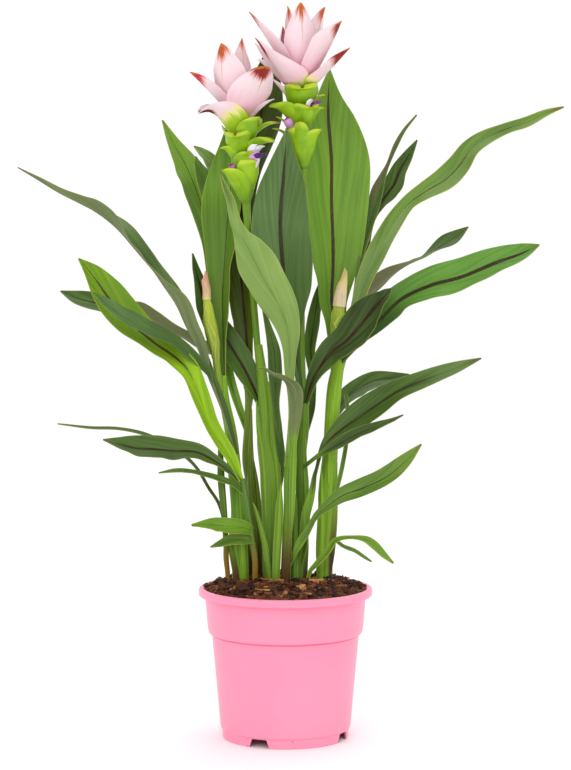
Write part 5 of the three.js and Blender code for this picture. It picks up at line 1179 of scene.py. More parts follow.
SPIKE_LEFT = {
    "name": "bloom_left",
    "foot": (-27, -9, 370),
    "lean": -4.5,
    "scape": [(-19, 10, 266, 2.3), (-22, 6, 302, 2.3), (-24, 0, 330, 2.3), (-26, -6, 356, 2.5),
              (-27, -9, 374, 3)],
    "core": [(0, 0, -2, 2.8), (0, 0, 9, 6.6), (0, 0, 26, 8), (0, 0, 41, 6.6)],
    "heart": [(0, 0, 41.5, 6.2), (0, 0, 58, 6.6), (0, 0, 84, 2.4)],
    "green": [
        ((-45, 0, 9, 12, 18, 22, 11), 0.5, 0), ((46, 3, 10, 13, 11.5, 25, 12), 0.5, 1.4),
        ((180, 6, 10, 13, 14, 19, 12), 0.4, 0), ((16, 14, 10, 11, 13.5, 19, 10), 0.5, 0),
        ((-75, 22, 9, 11, 13.2, 15, 8), 0.4, 0), ((65, 26, 11, 12, 22.5, 12.2, 9), 0.5, 0),
        ((-12, 27, 12, 12, 15.5, 18.2, 11), 0.25, 1.8), ((44, 33, 16, 13, 17.5, 22.5, 12.5), 0.3, 0),
        ((68, 35, 12, 14, 27.6, 15.6, 5.5, 40), 1.0, 0), ((-140, 32, 11, 14, 16, 19, 12), 0.4, 0),
        ((140, 36, 12, 12, 20, 16, 13), 0.6, 0),
    ],
    "pink": [
        (POINTED, (-38, 60, 18.5, 16, 12.8, 46, 17), 0.82, NO_LIME, 0.4),
        (POINTED, (-85, 55, 13, 14, 30.5, 34.2, 12.5), 0.72, NO_LIME, 1.0),
        (HOOD, (-50, 37, 16, 29, 34.6, 22.8, 16.5), 0.58, 0.42, -0.4),
        (SLENDER, (150, 62, 14, 24, 11.5, 48.4, 10), 0.86, NO_LIME, 0.5),
        (SLENDER, (-150, 62, 14, 22, 9.5, 43.6, 11), 0.86, NO_LIME, 0.5),
        (SLENDER, (98, 50, 14, 12, 24.5, 17.2, 5.5), NO_TIP, 0.1, 0.5),
        (POINTED, (-165, 54, 16, 14, 22, 30, 13), 0.84, NO_LIME, 0.3),
        (BLUNT, (44, 54, 21, 15, 28.9, 33.7, 21.3, 32), 0.76, 0.06, 0.0),
    ],
}

SPIKE_RIGHT = {
    "name": "bloom_right",
    "foot": (12, 12, 384),
    "lean": -1.5,
    "scape": [(10, 3, 186, 2), (11, 11, 208, 2.3), (12, 16, 236, 2.4), (11, 16, 270, 2.4),
              (11, 15, 316, 2.4), (11, 13, 355, 2.5), (12, 12, 396, 3)],
    "core": [(0, 0, 8, 3), (0, 0, 19, 6.6), (0, 0, 36, 8), (0, 0, 53, 6.8)],
    "heart": [(0, 0, 53.5, 6.2), (0, 0, 68, 6.6), (0, 0, 94, 2.4)],
    "green": [
        ((-42, 10, 9, 13, 13, 26.4, 9), 0.7, 1.2), ((50, 10, 9, 13, 15.4, 25.2, 10), 0.4, 0),
        ((180, 12, 9, 12, 13, 20, 11), 0.4, 0), ((-92, 20, 8, 10, 18, 17, 3.4), 0.2, 0),
        ((-84, 26, 8, 9, 15.2, 18.9, 2.6), 0.2, 0), ((-6, 9, 11, 13, 14, 31.4, 10), 0.2, 0),
        ((-65, 34, 11, 13, 21.3, 17.2, 12), 0.3, 0), ((26, 32, 11, 13, 14.5, 18.5, 12), 0.6, 0.8),
        ((76, 36, 11, 10, 14.8, 13.6, 7), 0.8, 0), ((82, 42, 10, 12, 14.6, 16.8, 4, 50), 0.1, 0),
        ((4, 46, 12, 13, 14, 18.2, 14), 0.25, 2), ((-160, 34, 11, 13, 17, 19, 13), 0.4, 0),
    ],
    "pink": [
        (POINTED, (12, 68, 15, 18, 6.6, 53, 13.5), 0.85, NO_LIME, 0.5),
        (SLENDER, (-152, 70, 13, 24, 15.5, 51.2, 8), 0.84, NO_LIME, 0.5),
        (SLENDER, (-120, 66, 22, 14, 12.3, 40.4, 13), 0.86, NO_LIME, 0.9),
        (SLENDER, (-82, 66, 14, 18, 33.9, 49.9, 12), 0.84, NO_LIME, 0.3),
        (POINTED, (130, 68, 14, 22, 23.5, 51.8, 12), 0.83, NO_LIME, 0.6),
        (DRIP, (62, 64, 17, 17, 32.3, 43.1, 14.5), 0.8, NO_LIME, 0.1),
        (FOLDED, (-52, 60, 18, 11, 37.5, 36.3, 17), 0.72, 0.14, 0.1),
        (SLENDER, (-76, 60, 21, 13, 31, 34.4, 12), NO_TIP, NO_LIME, 0.3),
        (FLAME, (68, 60, 16, 9, 36.7, 29, 10), 0.7, 0.3, 0.05),
        (SLENDER, (-72, 50, 10, 8, 21.4, 21, 5), NO_TIP, 0.5, 0.5),
        (POINTED, (175, 62, 16, 15, 26, 33, 13), 0.84, NO_LIME, 0.3),
        (POINTED, (-115, 58, 14, 12, 32, 27.1, 11), NO_TIP, NO_LIME, 0.3),
    ],
}

bract_draw = random.Random(5)


def spike_matrix(spike):
    lean = Matrix.Rotation(math.radians(spike["lean"]), 4, "Y")
    return Matrix.Translation(Vector(spike["foot"]) * MM) @ lean


def bract(name, spike, numbers, shape, rows, columns, hang=0.0, **values):
    """One bract in the spike's own frame, then turned about the axis and set on the spike."""
    turn, height, belly_radius, belly_rise, tip_radius, tip_rise, width = numbers[:7]
    cup = numbers[7] if len(numbers) > 7 else shape["cup"]
    u = np.linspace(0, 1, len(shape["widths"]))[:, None]
    root = np.array([shape.get("root_radius", BRACT_ROOT_RADIUS), height])
    belly = np.array([belly_radius, height + belly_rise])
    tip = np.array([tip_radius, height + tip_rise])
    curve = root * (1 - u) ** 2 + 2 * belly * u * (1 - u) + tip * u**2
    stations = [
        (0, -radius, rise, width * share, 180)
        for (radius, rise), share in zip(curve, shape["widths"])
    ]
    phase = bract_draw.uniform(0, 2 * math.pi)
    lip = shape["lip"]

    def bend(points, t, s):
        """Curls the lip outwards, rounds the tip and lets the edge wave."""
        late = np.clip((t - CURL_START) / CURL_SHARE, 0, 1)[:, None]
        middle = points[:, columns // 2 : columns // 2 + 1]
        last = np.clip((t - ROUNDING_START) / ROUNDING_SHARE, 0, 1)
        narrowed = np.sqrt(np.clip(1 - last**2, 0.03, 1))
        points = middle + (points - middle) * narrowed[:, None, None]
        points[..., 1] -= (lip + 0.5 * hang * (1 - s**2)) * late**2
        points[..., 2] -= 0.35 * lip * late**3 + hang * (1 - s**2) * late
        wave = np.sin(2 * math.pi * BRACT_WAVES * t[:, None] + phase + s * 2) * s**2
        return points + face_of(points) * (wave * BRACT_WAVE_HEIGHT)[..., None]

    full = dict(shape, cup=cup, rib=0.0, flat=(1.0, 0.0, 0.0))
    piece = blade(name, stations, full, rows, columns, BRACT_THICKNESS, bend)
    keep(piece, seed=bract_draw.random(), narrow=shape["narrow"], **values)
    piece.data.transform(spike_matrix(spike) @ Matrix.Rotation(math.radians(turn), 4, "Z"))
    return piece


for spike in (SPIKE_LEFT, SPIKE_RIGHT):
    print(spike["name"], "green bracts:", len(spike["green"]), "pink:", len(spike["pink"]))

# %% Make the blooms
BRACT_ROWS, BRACT_COLUMNS = 30, 20
CORE_SIDES, CORE_ROWS, HEART_ROWS = 24, 14, 12
SCAPE_ROWS, SCAPE_RIBS = 30, 8

for spike in (SPIKE_LEFT, SPIKE_RIGHT):
    bloom = spike["name"]
    core = stalk(bloom + "_core", spike["core"], CORE_ROWS, CORE_SIDES)
    core.data.transform(spike_matrix(spike))
    scape = stalk(bloom + "_scape", spike["scape"], SCAPE_ROWS, CORE_SIDES, SCAPE_RIBS,
                  STEM_RIB_HEIGHT)
    parts = [core, scape]
    for part in parts:
        keep(part, along=0.12, across=0.0, under=0.0, seed=0.3, brown=0.0, scape=1.0)
    for number, (numbers, brown, hang) in enumerate(spike["green"]):
        parts.append(bract(f"{bloom}_green_{number}", spike, numbers, CUP if hang else POUCH,
                           BRACT_ROWS, BRACT_COLUMNS, hang, brown=brown, scape=0.0))
    greens = join(bloom + "_greens", parts)
    greens.data.materials.append(BRACT_LOOKS["green"])
    hand_over(greens, "green_bract", bloom + "_green_bracts")

    heart = stalk(bloom + "_heart", spike["heart"], HEART_ROWS, CORE_SIDES)
    heart.data.transform(spike_matrix(spike))
    keep(heart, across=0.0, span=3.0, under=0.0, seed=0.6)
    keep(heart, patch=NO_TIP, lime=0.5, tip=0.0, narrow=0.0)
    parts = [heart]
    for number, (shape, numbers, patch, lime, tip) in enumerate(spike["pink"]):
        parts.append(bract(f"{bloom}_pink_{number}", spike, numbers, shape, BRACT_ROWS,
                           BRACT_COLUMNS, patch=patch, lime=lime, tip=tip))
    pinks = join(bloom + "_pinks", parts)
    pinks.data.materials.append(BRACT_LOOKS["pink"])
    hand_over(pinks, "pink_bract", bloom + "_pink_bracts")

# %% [markdown]
# The true flowers are small and look out of the green pouches: a short tube, white or violet
# petals, and on the open one a violet lip. Their colour goes from white to violet by a number
# that each petal carries.

# %% Floret finish
def floret_finish():
    look = Finish("floret_petals", Roughness=0.45, Subsurface_Weight=0.15, Subsurface_Scale=0.002)
    streak = bract_streaks(look, 12.0)
    mouth = look.attribute("along").step(0.86, 0.97) * 0.45
    tone = look.attribute("tone") + (streak - 0.5) * 0.3 + mouth * look.attribute("dark_mouth")
    colour = look.mix(tone.step(0.05, 0.35), srgb(238, 234, 240), srgb(206, 140, 200))
    colour = look.mix(tone.step(0.4, 0.65), colour, srgb(176, 60, 150))
    colour = look.mix(tone.step(0.7, 0.95), colour, srgb(76, 30, 108))
    return look.end(colour, streak * 0.2 + 0.35, streak, relief_mm=0.08)


FLORET_LOOK = floret_finish()
PETAL = {"widths": (0.5, 1, 0.6), "fold": 6, "cup": 50, "lip": 0.8, "root_radius": 8, "narrow": 0}

# A floret is its spike, its tube [turn, foot radius, foot height, mouth radius, mouth height,
# thickness, tone], and its petals, each with its own tone. The tones go from 0 for white over
# 0.35 for lilac and 0.6 for magenta to 1 for violet.
FLORETS = {
    "floret_left": (SPIKE_LEFT, (58, 5, 16, 12.5, 29.5, 2.6, 0.2), [
        ((42, 26, 13, 8, 14.5, 11, 4.4), 0.0), ((66, 26, 13, 8, 16.5, 9.5, 4.6), 0.0),
        ((58, 25, 14, 3, 18.6, 4.5, 5.6), 0.95), ((46, 24, 13, 3, 14.8, 7.5, 5), 0.3),
    ]),
    "floret_left_small": (SPIKE_LEFT, (-42, 4, 12, 12, 24.9, 2.2, 0.55), []),
    "floret_right": (SPIKE_RIGHT, (46, 3, 40, 10.2, 50, 2.4, 0.3), [
        ((34, 46, 11, 4, 12, 9.4, 3), 0.0), ((54, 46, 11, 4, 16.4, 7.6, 4.4), 0.85),
    ]),
    "floret_right_low": (SPIKE_RIGHT, (-58, 5, 30, 12, 42.8, 3.1, 0.3), []),
    "floret_right_top": (SPIKE_RIGHT, (66, 8, 69, 12.5, 78, 1.2, 1.1), []),
}
TUBE_PROFILE = ((0, 0.6), (0.5, 0.9), (0.82, 1), (1, 0.5))
TUBE_ROWS, TUBE_SIDES, PETAL_ROWS, PETAL_COLUMNS = 16, 20, 16, 12

for name, (spike, tube, petals) in FLORETS.items():
    turn, foot_radius, foot_height, mouth_radius, mouth_height, radius, tone = tube
    body = stalk(name + "_tube", [
        (0, foot_radius * (share - 1) - mouth_radius * share,
         foot_height * (1 - share) + mouth_height * share, radius * factor)
        for share, factor in TUBE_PROFILE
    ], TUBE_ROWS, TUBE_SIDES)
    body.data.transform(spike_matrix(spike) @ Matrix.Rotation(math.radians(turn), 4, "Z"))
    keep(body, across=0.0, span=2.0, under=0.0, seed=0.8, tone=tone, dark_mouth=1.0)
    parts = [body]
    for number, (numbers, petal_tone) in enumerate(petals):
        parts.append(bract(f"{name}_petal_{number}", spike, numbers, PETAL, PETAL_ROWS,
                           PETAL_COLUMNS, tone=petal_tone, dark_mouth=0.0))
    floret = join(name + "_fine", parts)
    floret.data.materials.append(FLORET_LOOK)
    hand_over(floret, "floret", name)

# %% [markdown]
# A young bud is a slim cone of bracts pressed together: green below, cream and pink at the tip.
# A closed stalk gives its form, and a few pointed bracts are wound round it, each a strip of a
# grid that follows the stalk's own radius and stands off it a little more towards its tip.

# %% Bud finishes
def bud_finish(name, low, high, edge, low_z, high_z):
    look = Finish(name, Specular_IOR_Level=0.3, Subsurface_Weight=0.1, Subsurface_Scale=0.002)
    height = look.height()
    where = look.vector(look.around() * 12, height * 40, look.attribute("seed") * 30)
    streak = look.noise(1, 3, vector=where)
    share = (height + (streak - 0.5) * 0.01).step(low_z * MM, high_z * MM)
    colour = look.mix(share, low, high)
    colour = look.mix(streak.step(0.5, 0.7) * 0.3, colour, srgb(228, 220, 140))
    colour = look.mix(streak.step(0.45, 0.3) * 0.25, colour, srgb(104, 132, 36))
    rim = abs(look.attribute("across")).step(0.7, 0.98)
    colour = look.mix(rim * 0.6, colour, edge)
    return look.end(colour, streak * 0.15 + 0.4, streak, relief_mm=0.1)


BUD_LOOKS = {
    "bud_left_green": bud_finish(
        "bud_left_green", srgb(126, 156, 40), srgb(170, 188, 52), srgb(214, 176, 110), 262, 300
    ),
    "bud_left_pink": bud_finish(
        "bud_left_pink", srgb(218, 196, 128), srgb(214, 164, 134), srgb(228, 146, 140), 300, 314
    ),
    "bud_right_green": bud_finish(
        "bud_right_green", srgb(96, 120, 24), srgb(150, 172, 44), srgb(214, 216, 120), 264, 296
    ),
    "bud_right_pink": bud_finish(
        "bud_right_pink", srgb(228, 204, 166), srgb(204, 180, 104), srgb(230, 170, 158), 304, 322
    ),
}
print("Bud finishes:", len(BUD_LOOKS))

# %% Buds
# A bud is its slot, its stations [x, y, z, radius] and its bracts. A bract is [share of the bud
# where it starts, where it ends, the way it faces in degrees, its half-width in degrees].
BUDS = {
    "bud_left_green": ("green_bract", [
        (-45, 2, 240, 2), (-47, 1, 254, 2), (-48, 0, 264, 2.4), (-49, 0, 271, 3.4),
        (-51, 0, 282, 4.1), (-53, 0, 294, 3.2), (-54, 0, 303, 2.6),
    ], [(0.02, 0.6, 40, 110), (0.3, 0.82, -50, 110), (0.52, 0.99, 25, 105)]),
    "bud_left_pink": ("pink_bract", [
        (-54, 0, 302, 2.4), (-54, 0, 309, 2.3), (-55, 0, 316, 1.7), (-55, 0, 322, 0.4),
    ], [(0.02, 0.72, -40, 120), (0.1, 0.96, 60, 90)]),
    "bud_right_green": ("green_bract", [
        (36, 12, 258, 2.4), (35, 12, 271, 2.8), (35, 12, 280, 3.5), (36, 12, 288, 4.1),
        (37, 12, 298, 4.1),
    ], [(0.02, 0.7, -50, 115), (0.2, 0.9, 45, 110), (0.46, 0.99, -20, 100)]),
    "bud_right_pink": ("pink_bract", [
        (37, 12, 297, 4), (38, 12, 305, 3.7), (40, 12, 316, 2.2), (41, 12, 324, 0.4),
    ], [(0.02, 0.66, -30, 100), (0.08, 0.94, 60, 100)]),
}
BUD_BRACT_THICKNESS = 0.35
BUD_BRACT_LIFT, BUD_TIP_LIFT, BUD_EDGE_LIFT = 0.2, 0.4, 0.1
BUD_ROWS, BUD_SIDES, BUD_BRACT_ROWS, BUD_BRACT_COLUMNS = 30, 28, 22, 16
BUD_POINT_POWER, BUD_OUTLINE_POWER = 2.4, 0.8


def bud_bract(name, stations, start, end, facing, half_width):
    """A pointed strip wound round a bud."""
    stations = np.asarray(stations, float)
    share = np.linspace(0, 1, BUD_BRACT_ROWS + 1)
    t = start + (end - start) * share
    place, heading = line_through(stations[:, :3], t)
    radius = line_through(stations[:, 3:], t)[0][:, 0]
    side, normal = directions(heading, np.zeros(len(t)))
    outline = np.maximum(1 - share**BUD_POINT_POWER, 0.02) ** BUD_OUTLINE_POWER
    s = np.linspace(-1, 1, BUD_BRACT_COLUMNS + 1)
    angle = math.radians(facing) + (np.radians(half_width) * outline)[:, None] * s
    reach = radius + BUD_BRACT_LIFT + BUD_BRACT_THICKNESS / 2 + BUD_TIP_LIFT * share**4
    reach = reach[:, None] + BUD_EDGE_LIFT * s**2
    points = sheet(place, side, normal, reach * np.sin(angle), reach * np.cos(angle))
    strip = grid(name, BUD_BRACT_ROWS, BUD_BRACT_COLUMNS)
    lay(strip, points.reshape(-1, 3))
    keep(strip, across=np.tile(s, BUD_BRACT_ROWS + 1), seed=bract_draw.random())
    apply_modifier(strip, "SOLIDIFY", thickness=BUD_BRACT_THICKNESS * MM, offset=0)
    return strip


for name, (slot, stations, bracts) in BUDS.items():
    parts = [stalk(name + "_fine", stations, BUD_ROWS, BUD_SIDES)]
    keep(parts[0], across=0.0, seed=0.5)
    for number, numbers in enumerate(bracts):
        parts.append(bud_bract(f"{name}_bract_{number}", stations, *numbers))
    bud = join(name + "_fine", parts)
    bud.data.materials.append(BUD_LOOKS[name])
    hand_over(bud, slot, name)

# %% [markdown]
# The pot is one thin moulded shell: a foot skirt with drain notches, a tapering wall, a
# shoulder, a wide band and a rolled lip. A circle primitive's points are drawn onto the section
# of the wall, with its corners rounded, and the section is spun round the axis. That gives the
# round corners of moulded plastic directly, where a bevel on a cylinder would not.

# %% Pot dimensions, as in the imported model
POT_HEIGHT = 104
RIM_RADIUS = 60
LIP_HEIGHT = 5.3
LIP_WIDTH = 4
BAND_TOP_RADIUS = 55.7
BAND_BOTTOM_RADIUS = 53.8
SHOULDER_HEIGHT = 72.5
WALL_TOP_RADIUS = 50.9
WALL_BOTTOM_RADIUS = 45
SKIRT_RADIUS = 43.5
SKIRT_HEIGHT = 6.2
POT_WALL = 1.2
FLOOR_TOP = SKIRT_HEIGHT + 3.4
FLOOR_UNDER = FLOOR_TOP - POT_WALL - 0.4
LIP_FOOT = POT_HEIGHT - LIP_HEIGHT
NOTCH_WIDTH = 14
NOTCH_HEIGHT = 6
NOTCH_COUNT = 4
FIRST_NOTCH_TURN = 65.5
DRAIN_HOLE_RADIUS = 4
DRAIN_HOLE_RING = 30
POT_STEPS = 160
ROUNDING_STEPS = 4

# Each corner of the wall's section is [radius, height, size of its rounding].
POT_SECTION = [
    (0, FLOOR_UNDER, 0), (SKIRT_RADIUS - POT_WALL, FLOOR_UNDER, 0.8),
    (SKIRT_RADIUS - POT_WALL, 0, 0.3),
    (SKIRT_RADIUS, 0, 0.4), (SKIRT_RADIUS + 0.2, SKIRT_HEIGHT, 0.3),
    (WALL_BOTTOM_RADIUS, SKIRT_HEIGHT + 0.9, 0.8), (WALL_TOP_RADIUS, SHOULDER_HEIGHT - 1.2, 0.2),
    (WALL_TOP_RADIUS - 0.1, SHOULDER_HEIGHT - 0.4, 0.2),
    (BAND_BOTTOM_RADIUS - 0.7, SHOULDER_HEIGHT + 0.4, 0.9),
    (BAND_BOTTOM_RADIUS, SHOULDER_HEIGHT + 3.5, 2), (BAND_TOP_RADIUS, LIP_FOOT, 0.3),
    (RIM_RADIUS, LIP_FOOT, 0.9), (RIM_RADIUS, POT_HEIGHT, 1.8),
    (RIM_RADIUS - LIP_WIDTH, POT_HEIGHT, 1.2),
    (BAND_TOP_RADIUS - POT_WALL, LIP_FOOT - 1.5, 0.8),
    (BAND_BOTTOM_RADIUS - POT_WALL, SHOULDER_HEIGHT + 3.5, 1),
    (WALL_TOP_RADIUS - POT_WALL, SHOULDER_HEIGHT - 1.2, 0.8),
    (WALL_BOTTOM_RADIUS - POT_WALL, FLOOR_TOP, 1), (0, FLOOR_TOP, 0),
]


def rounded(corners):
    """The corners as a line, each rounded by a curve that starts and ends its size away."""
    line = []
    for index, (x, z, size) in enumerate(corners):
        corner = np.array([x, z], float)
        if not size:
            line.append(corner)
            continue
        before = np.array(corners[index - 1][:2], float)
        after = np.array(corners[(index + 1) % len(corners)][:2], float)
        start = corner + unit(before - corner) * size
        end = corner + unit(after - corner) * size
        for u in np.linspace(0, 1, ROUNDING_STEPS + 1):
            line.append(start * (1 - u) ** 2 + 2 * corner * u * (1 - u) + end * u**2)
    return line


section = rounded(POT_SECTION)
deselect()
bpy.ops.mesh.primitive_circle_add(vertices=len(section), radius=RIM_RADIUS * MM)
pot = bpy.context.object
pot.name = "pot_moulded"
lay(pot, np.array([(x, 0, z) for x, z in section]))
bpy.ops.object.mode_set(mode="EDIT")
bpy.ops.mesh.select_all(action="SELECT")
bpy.ops.mesh.spin(steps=POT_STEPS, angle=2 * math.pi, center=(0, 0, 0), axis=(0, 0, 1))
bpy.ops.mesh.select_all(action="SELECT")
bpy.ops.mesh.remove_doubles(threshold=MERGE_DISTANCE * MM)
bpy.ops.mesh.select_all(action="SELECT")
bpy.ops.mesh.normals_make_consistent(inside=False)
bpy.ops.object.mode_set(mode="OBJECT")
print("Pot section points:", len(section), "faces:", len(pot.data.polygons))

# %% Cut the drain notches and holes
CUTTER_DEPTH = 20
CUTTER_BELOW = 1
NOTCH_TAPER, NOTCH_FLARE = 3, 2
NOTCH_ROUNDING = 0.9
HOLE_CUTTER_DEPTH, HOLE_SIDES = 10, 32


def cutter_for_notch(turn):
    """A block that narrows upwards, set across the skirt."""
    deselect()
    bpy.ops.mesh.primitive_cube_add(size=1, location=(0, 0, NOTCH_HEIGHT / 2 * MM))
    cutter = bpy.context.object
    cutter.scale = (NOTCH_WIDTH * MM, CUTTER_DEPTH * MM, NOTCH_HEIGHT * MM)
    bpy.ops.object.transform_apply(location=True, rotation=False, scale=True)
    for vertex in cutter.data.vertices:
        if vertex.co.z > NOTCH_HEIGHT / 2 * MM:
            vertex.co.x *= 1 - NOTCH_TAPER / NOTCH_WIDTH
        else:
            vertex.co.z = -CUTTER_BELOW * MM
            vertex.co.x *= 1 + NOTCH_FLARE / NOTCH_WIDTH
    apply_modifier(cutter, "BEVEL", width=NOTCH_ROUNDING * MM, segments=3, limit_method="ANGLE")
    out = Matrix.Translation((0, -SKIRT_RADIUS * MM, 0))
    place = Matrix.Rotation(math.radians(turn), 4, "Z") @ out
    cutter.data.transform(place)
    return cutter


def cutter_for_hole(turn, ring):
    deselect()
    bpy.ops.mesh.primitive_cylinder_add(
        vertices=HOLE_SIDES, radius=DRAIN_HOLE_RADIUS * MM, depth=HOLE_CUTTER_DEPTH * MM
    )
    cutter = bpy.context.object
    bpy.ops.object.transform_apply(location=True, rotation=False, scale=True)
    out = Matrix.Translation((0, -ring * MM, FLOOR_TOP * MM))
    place = Matrix.Rotation(math.radians(turn), 4, "Z") @ out
    cutter.data.transform(place)
    return cutter


turns = [FIRST_NOTCH_TURN + 360 / NOTCH_COUNT * i for i in range(NOTCH_COUNT)]
cutters = [cutter_for_notch(turn) for turn in turns]
cutters += [cutter_for_hole(turn, DRAIN_HOLE_RING) for turn in turns] + [cutter_for_hole(0, 0)]
tool = join("pot_cutters", cutters)
apply_modifier(pot, "BOOLEAN", operation="DIFFERENCE", object=tool, solver="EXACT")
bpy.data.objects.remove(tool)
print("Faces after the cuts:", len(pot.data.polygons))

# %% [markdown]
# The plastic is satin pink, a little translucent, with small scuffs and specks of soil, more of
# them near the foot and on the lip. A darker line under the band is painted shade. Specks are the
# cells of a Voronoi texture that a threshold leaves over, so they stay small and few.

# %% Pot finish
def pot_finish():
    look = Finish("pot_plastic", Specular_IOR_Level=0.3, Subsurface_Weight=0.06,
                  Subsurface_Scale=0.002)
    place, height = look.place(), look.height()
    cloud = look.noise(12, 2)
    grain = look.noise(900, 2)
    colour = look.mix(cloud.step(0.3, 0.7), srgb(248, 142, 172), srgb(250, 150, 178))
    # Painted shade: a darker pink line just under the shoulder, where the band above shades the wall.
    painted_groove_shade = abs(height - (SHOULDER_HEIGHT - 0.5) * MM).step(0.9 * MM, 0.3 * MM)
    colour = look.mix(painted_groove_shade * 0.55, colour, srgb(214, 84, 118))
    low_and_high = height.step(0.02, 0.0) * 0.6 + height.step(0.094, 0.1) * 0.35 + 0.08
    cell = look.node("TexVoronoi", {}, {"Vector": place, "Scale": 260.0}, out="Distance")
    rare = look.noise(90, 1).step(0.62, 0.7) * low_and_high
    specks = cell.step(0.2, 0.1) * rare
    colour = look.mix(specks, colour, srgb(96, 30, 30))
    flattened = look.node("Mapping", {}, {"Vector": place, "Scale": (40, 40, 260)}, "Vector")
    scuff = look.noise(1, 3, vector=flattened)
    colour = look.mix(scuff.step(0.68, 0.76) * 0.08, colour, srgb(255, 205, 218))
    return look.end(colour, cloud * 0.1 + 0.3, grain, relief_mm=0.015)


pot.data.materials.append(pot_finish())
hand_over(pot, "pot", "pot", smooth_degrees=35)

# %% [markdown]
# The soil fills the pot. Its top is a mound of peat and bark: a disc is drawn in rings towards
# its centre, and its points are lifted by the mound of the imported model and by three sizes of
# noise. Loose chips and fibres lie on it, each a copy of one of a few shaped pieces.

# %% Soil body
SOIL_HEIGHT = 103
SOIL_MOUND = 6
SOIL_ROUGHNESS = 1.6
SOIL_GAP = 0.25
SOIL_SIDES = 144
SOIL_RINGS = 44


def soil_height(x, y):
    radius = math.hypot(x, y) / BAND_TOP_RADIUS
    lumps = math.sin(x * 0.61 + 1.3) * math.cos(y * 0.53 + 0.4)
    lumps += 0.7 * math.sin(x * 0.23 - y * 0.37 + 2.1) + 0.5 * math.cos(x * 0.9 + y * 0.71)
    height = SOIL_HEIGHT + SOIL_MOUND * (1 - radius**4) + SOIL_ROUGHNESS * lumps / 2
    spot = Vector((x, y, 7.0))
    height += 1.1 * noise.noise(spot * 0.22) + 0.8 * noise.noise(spot * 0.55)
    return height + 0.45 * noise.noise(spot * 1.3)


def soil_ring(radius, height_at):
    ring = []
    for angle in np.linspace(0, 2 * math.pi, SOIL_SIDES + 1):
        x, y = radius * math.cos(angle), radius * math.sin(angle)
        ring.append((x, y, height_at(x, y)))
    return ring


wall_gap = POT_WALL + SOIL_GAP
soil_rings = [
    [(0, 0, FLOOR_TOP + SOIL_GAP)] * (SOIL_SIDES + 1),
    soil_ring(WALL_BOTTOM_RADIUS - wall_gap, lambda x, y: FLOOR_TOP + SOIL_GAP),
    soil_ring(WALL_TOP_RADIUS - wall_gap, lambda x, y: SHOULDER_HEIGHT - 1.2),
    soil_ring(BAND_TOP_RADIUS - wall_gap, lambda x, y: LIP_FOOT - 1.5),
]
soil_top_radius = BAND_TOP_RADIUS - wall_gap + 0.8
for ring in range(SOIL_RINGS, -1, -1):
    soil_rings.append(soil_ring(soil_top_radius * ring / SOIL_RINGS, soil_height))
soil = grid("soil_heap", len(soil_rings) - 1, SOIL_SIDES)
lay(soil, np.array(soil_rings).reshape(-1, 3))
merge_points(soil)


def soil_finish():
    look = Finish("soil_peat", Specular_IOR_Level=0.25)
    clod = look.noise(180, 4)
    crumb = look.noise(900, 3)
    patch = look.noise(45, 2)
    colour = look.mix(clod.step(0.4, 0.6), srgb(34, 15, 7), srgb(104, 56, 30))
    colour = look.mix(crumb.step(0.58, 0.68) * 0.7, colour, srgb(156, 100, 58))
    colour = look.mix(patch.step(0.46, 0.7) * 0.6, colour, srgb(46, 22, 12))
    return look.end(colour, crumb * 0.2 + 0.75, clod * 0.6 + crumb * 0.4, relief_mm=1.0)


soil.data.materials.append(soil_finish())
hand_over(soil, "soil", "soil")

# %% Bark chips and fibres
def chip_finish():
    look = Finish("bark_chips", Specular_IOR_Level=0.3)
    tone = look.attribute("tone")
    grain = look.noise(500, 3)
    colour = look.mix(tone.step(0.0, 0.6), srgb(40, 18, 9), srgb(126, 70, 38))
    colour = look.mix(tone.step(0.6, 0.95), colour, srgb(206, 150, 92))
    colour = look.mix(grain.step(0.5, 0.75) * 0.5, colour, srgb(66, 34, 18))
    return look.end(colour, grain * 0.2 + 0.65, grain, relief_mm=0.3)


def chip_model(name, size, roughness, subdivisions, seed):
    """A cube, subdivided and pushed about, so that it looks broken off."""
    deselect()
    bpy.ops.mesh.primitive_cube_add(size=1)
    chip = bpy.context.object
    chip.name = name
    chip.scale = [v * MM for v in size]
    bpy.ops.object.transform_apply(location=False, rotation=False, scale=True)
    bpy.ops.object.mode_set(mode="EDIT")
    bpy.ops.mesh.select_all(action="SELECT")
    bpy.ops.mesh.subdivide(number_cuts=subdivisions)
    bpy.ops.object.mode_set(mode="OBJECT")
    for vertex in chip.data.vertices:
        spot = vertex.co / MM * 0.9 + Vector((seed, seed * 2.0, 0))
        vertex.co += noise.noise_vector(spot) * roughness * MM
    return chip


# The chips' forms come from noise_vector, which follows the clock unless a seed is set.
CHIP_SEED = 21
chip_draw = random.Random(CHIP_SEED)
noise.seed_set(CHIP_SEED)
CHIP_MODELS = [
    chip_model("chip_lump", (3.4, 2.8, 2.2), 1.3, 2, 1),
    chip_model("chip_flat", (5.0, 2.6, 0.9), 0.7, 2, 2),
    chip_model("chip_crumb", (1.7, 1.5, 1.2), 0.8, 1, 3),
    chip_model("chip_fibre", (7.0, 0.6, 0.45), 0.9, 2, 4),
]
FIBRE = 3
CHIP_WEIGHTS = (22, 14, 40, 24)
CHIP_COUNT = 900
CHIP_TILT = 25
CHIP_FIELD_RADIUS, SMALL_CHIPS_FROM, SMALL_CHIP_SHARE = 53.6, 50, 0.7
CHIP_SIT = 0.35
print("Chip models:", len(CHIP_MODELS))

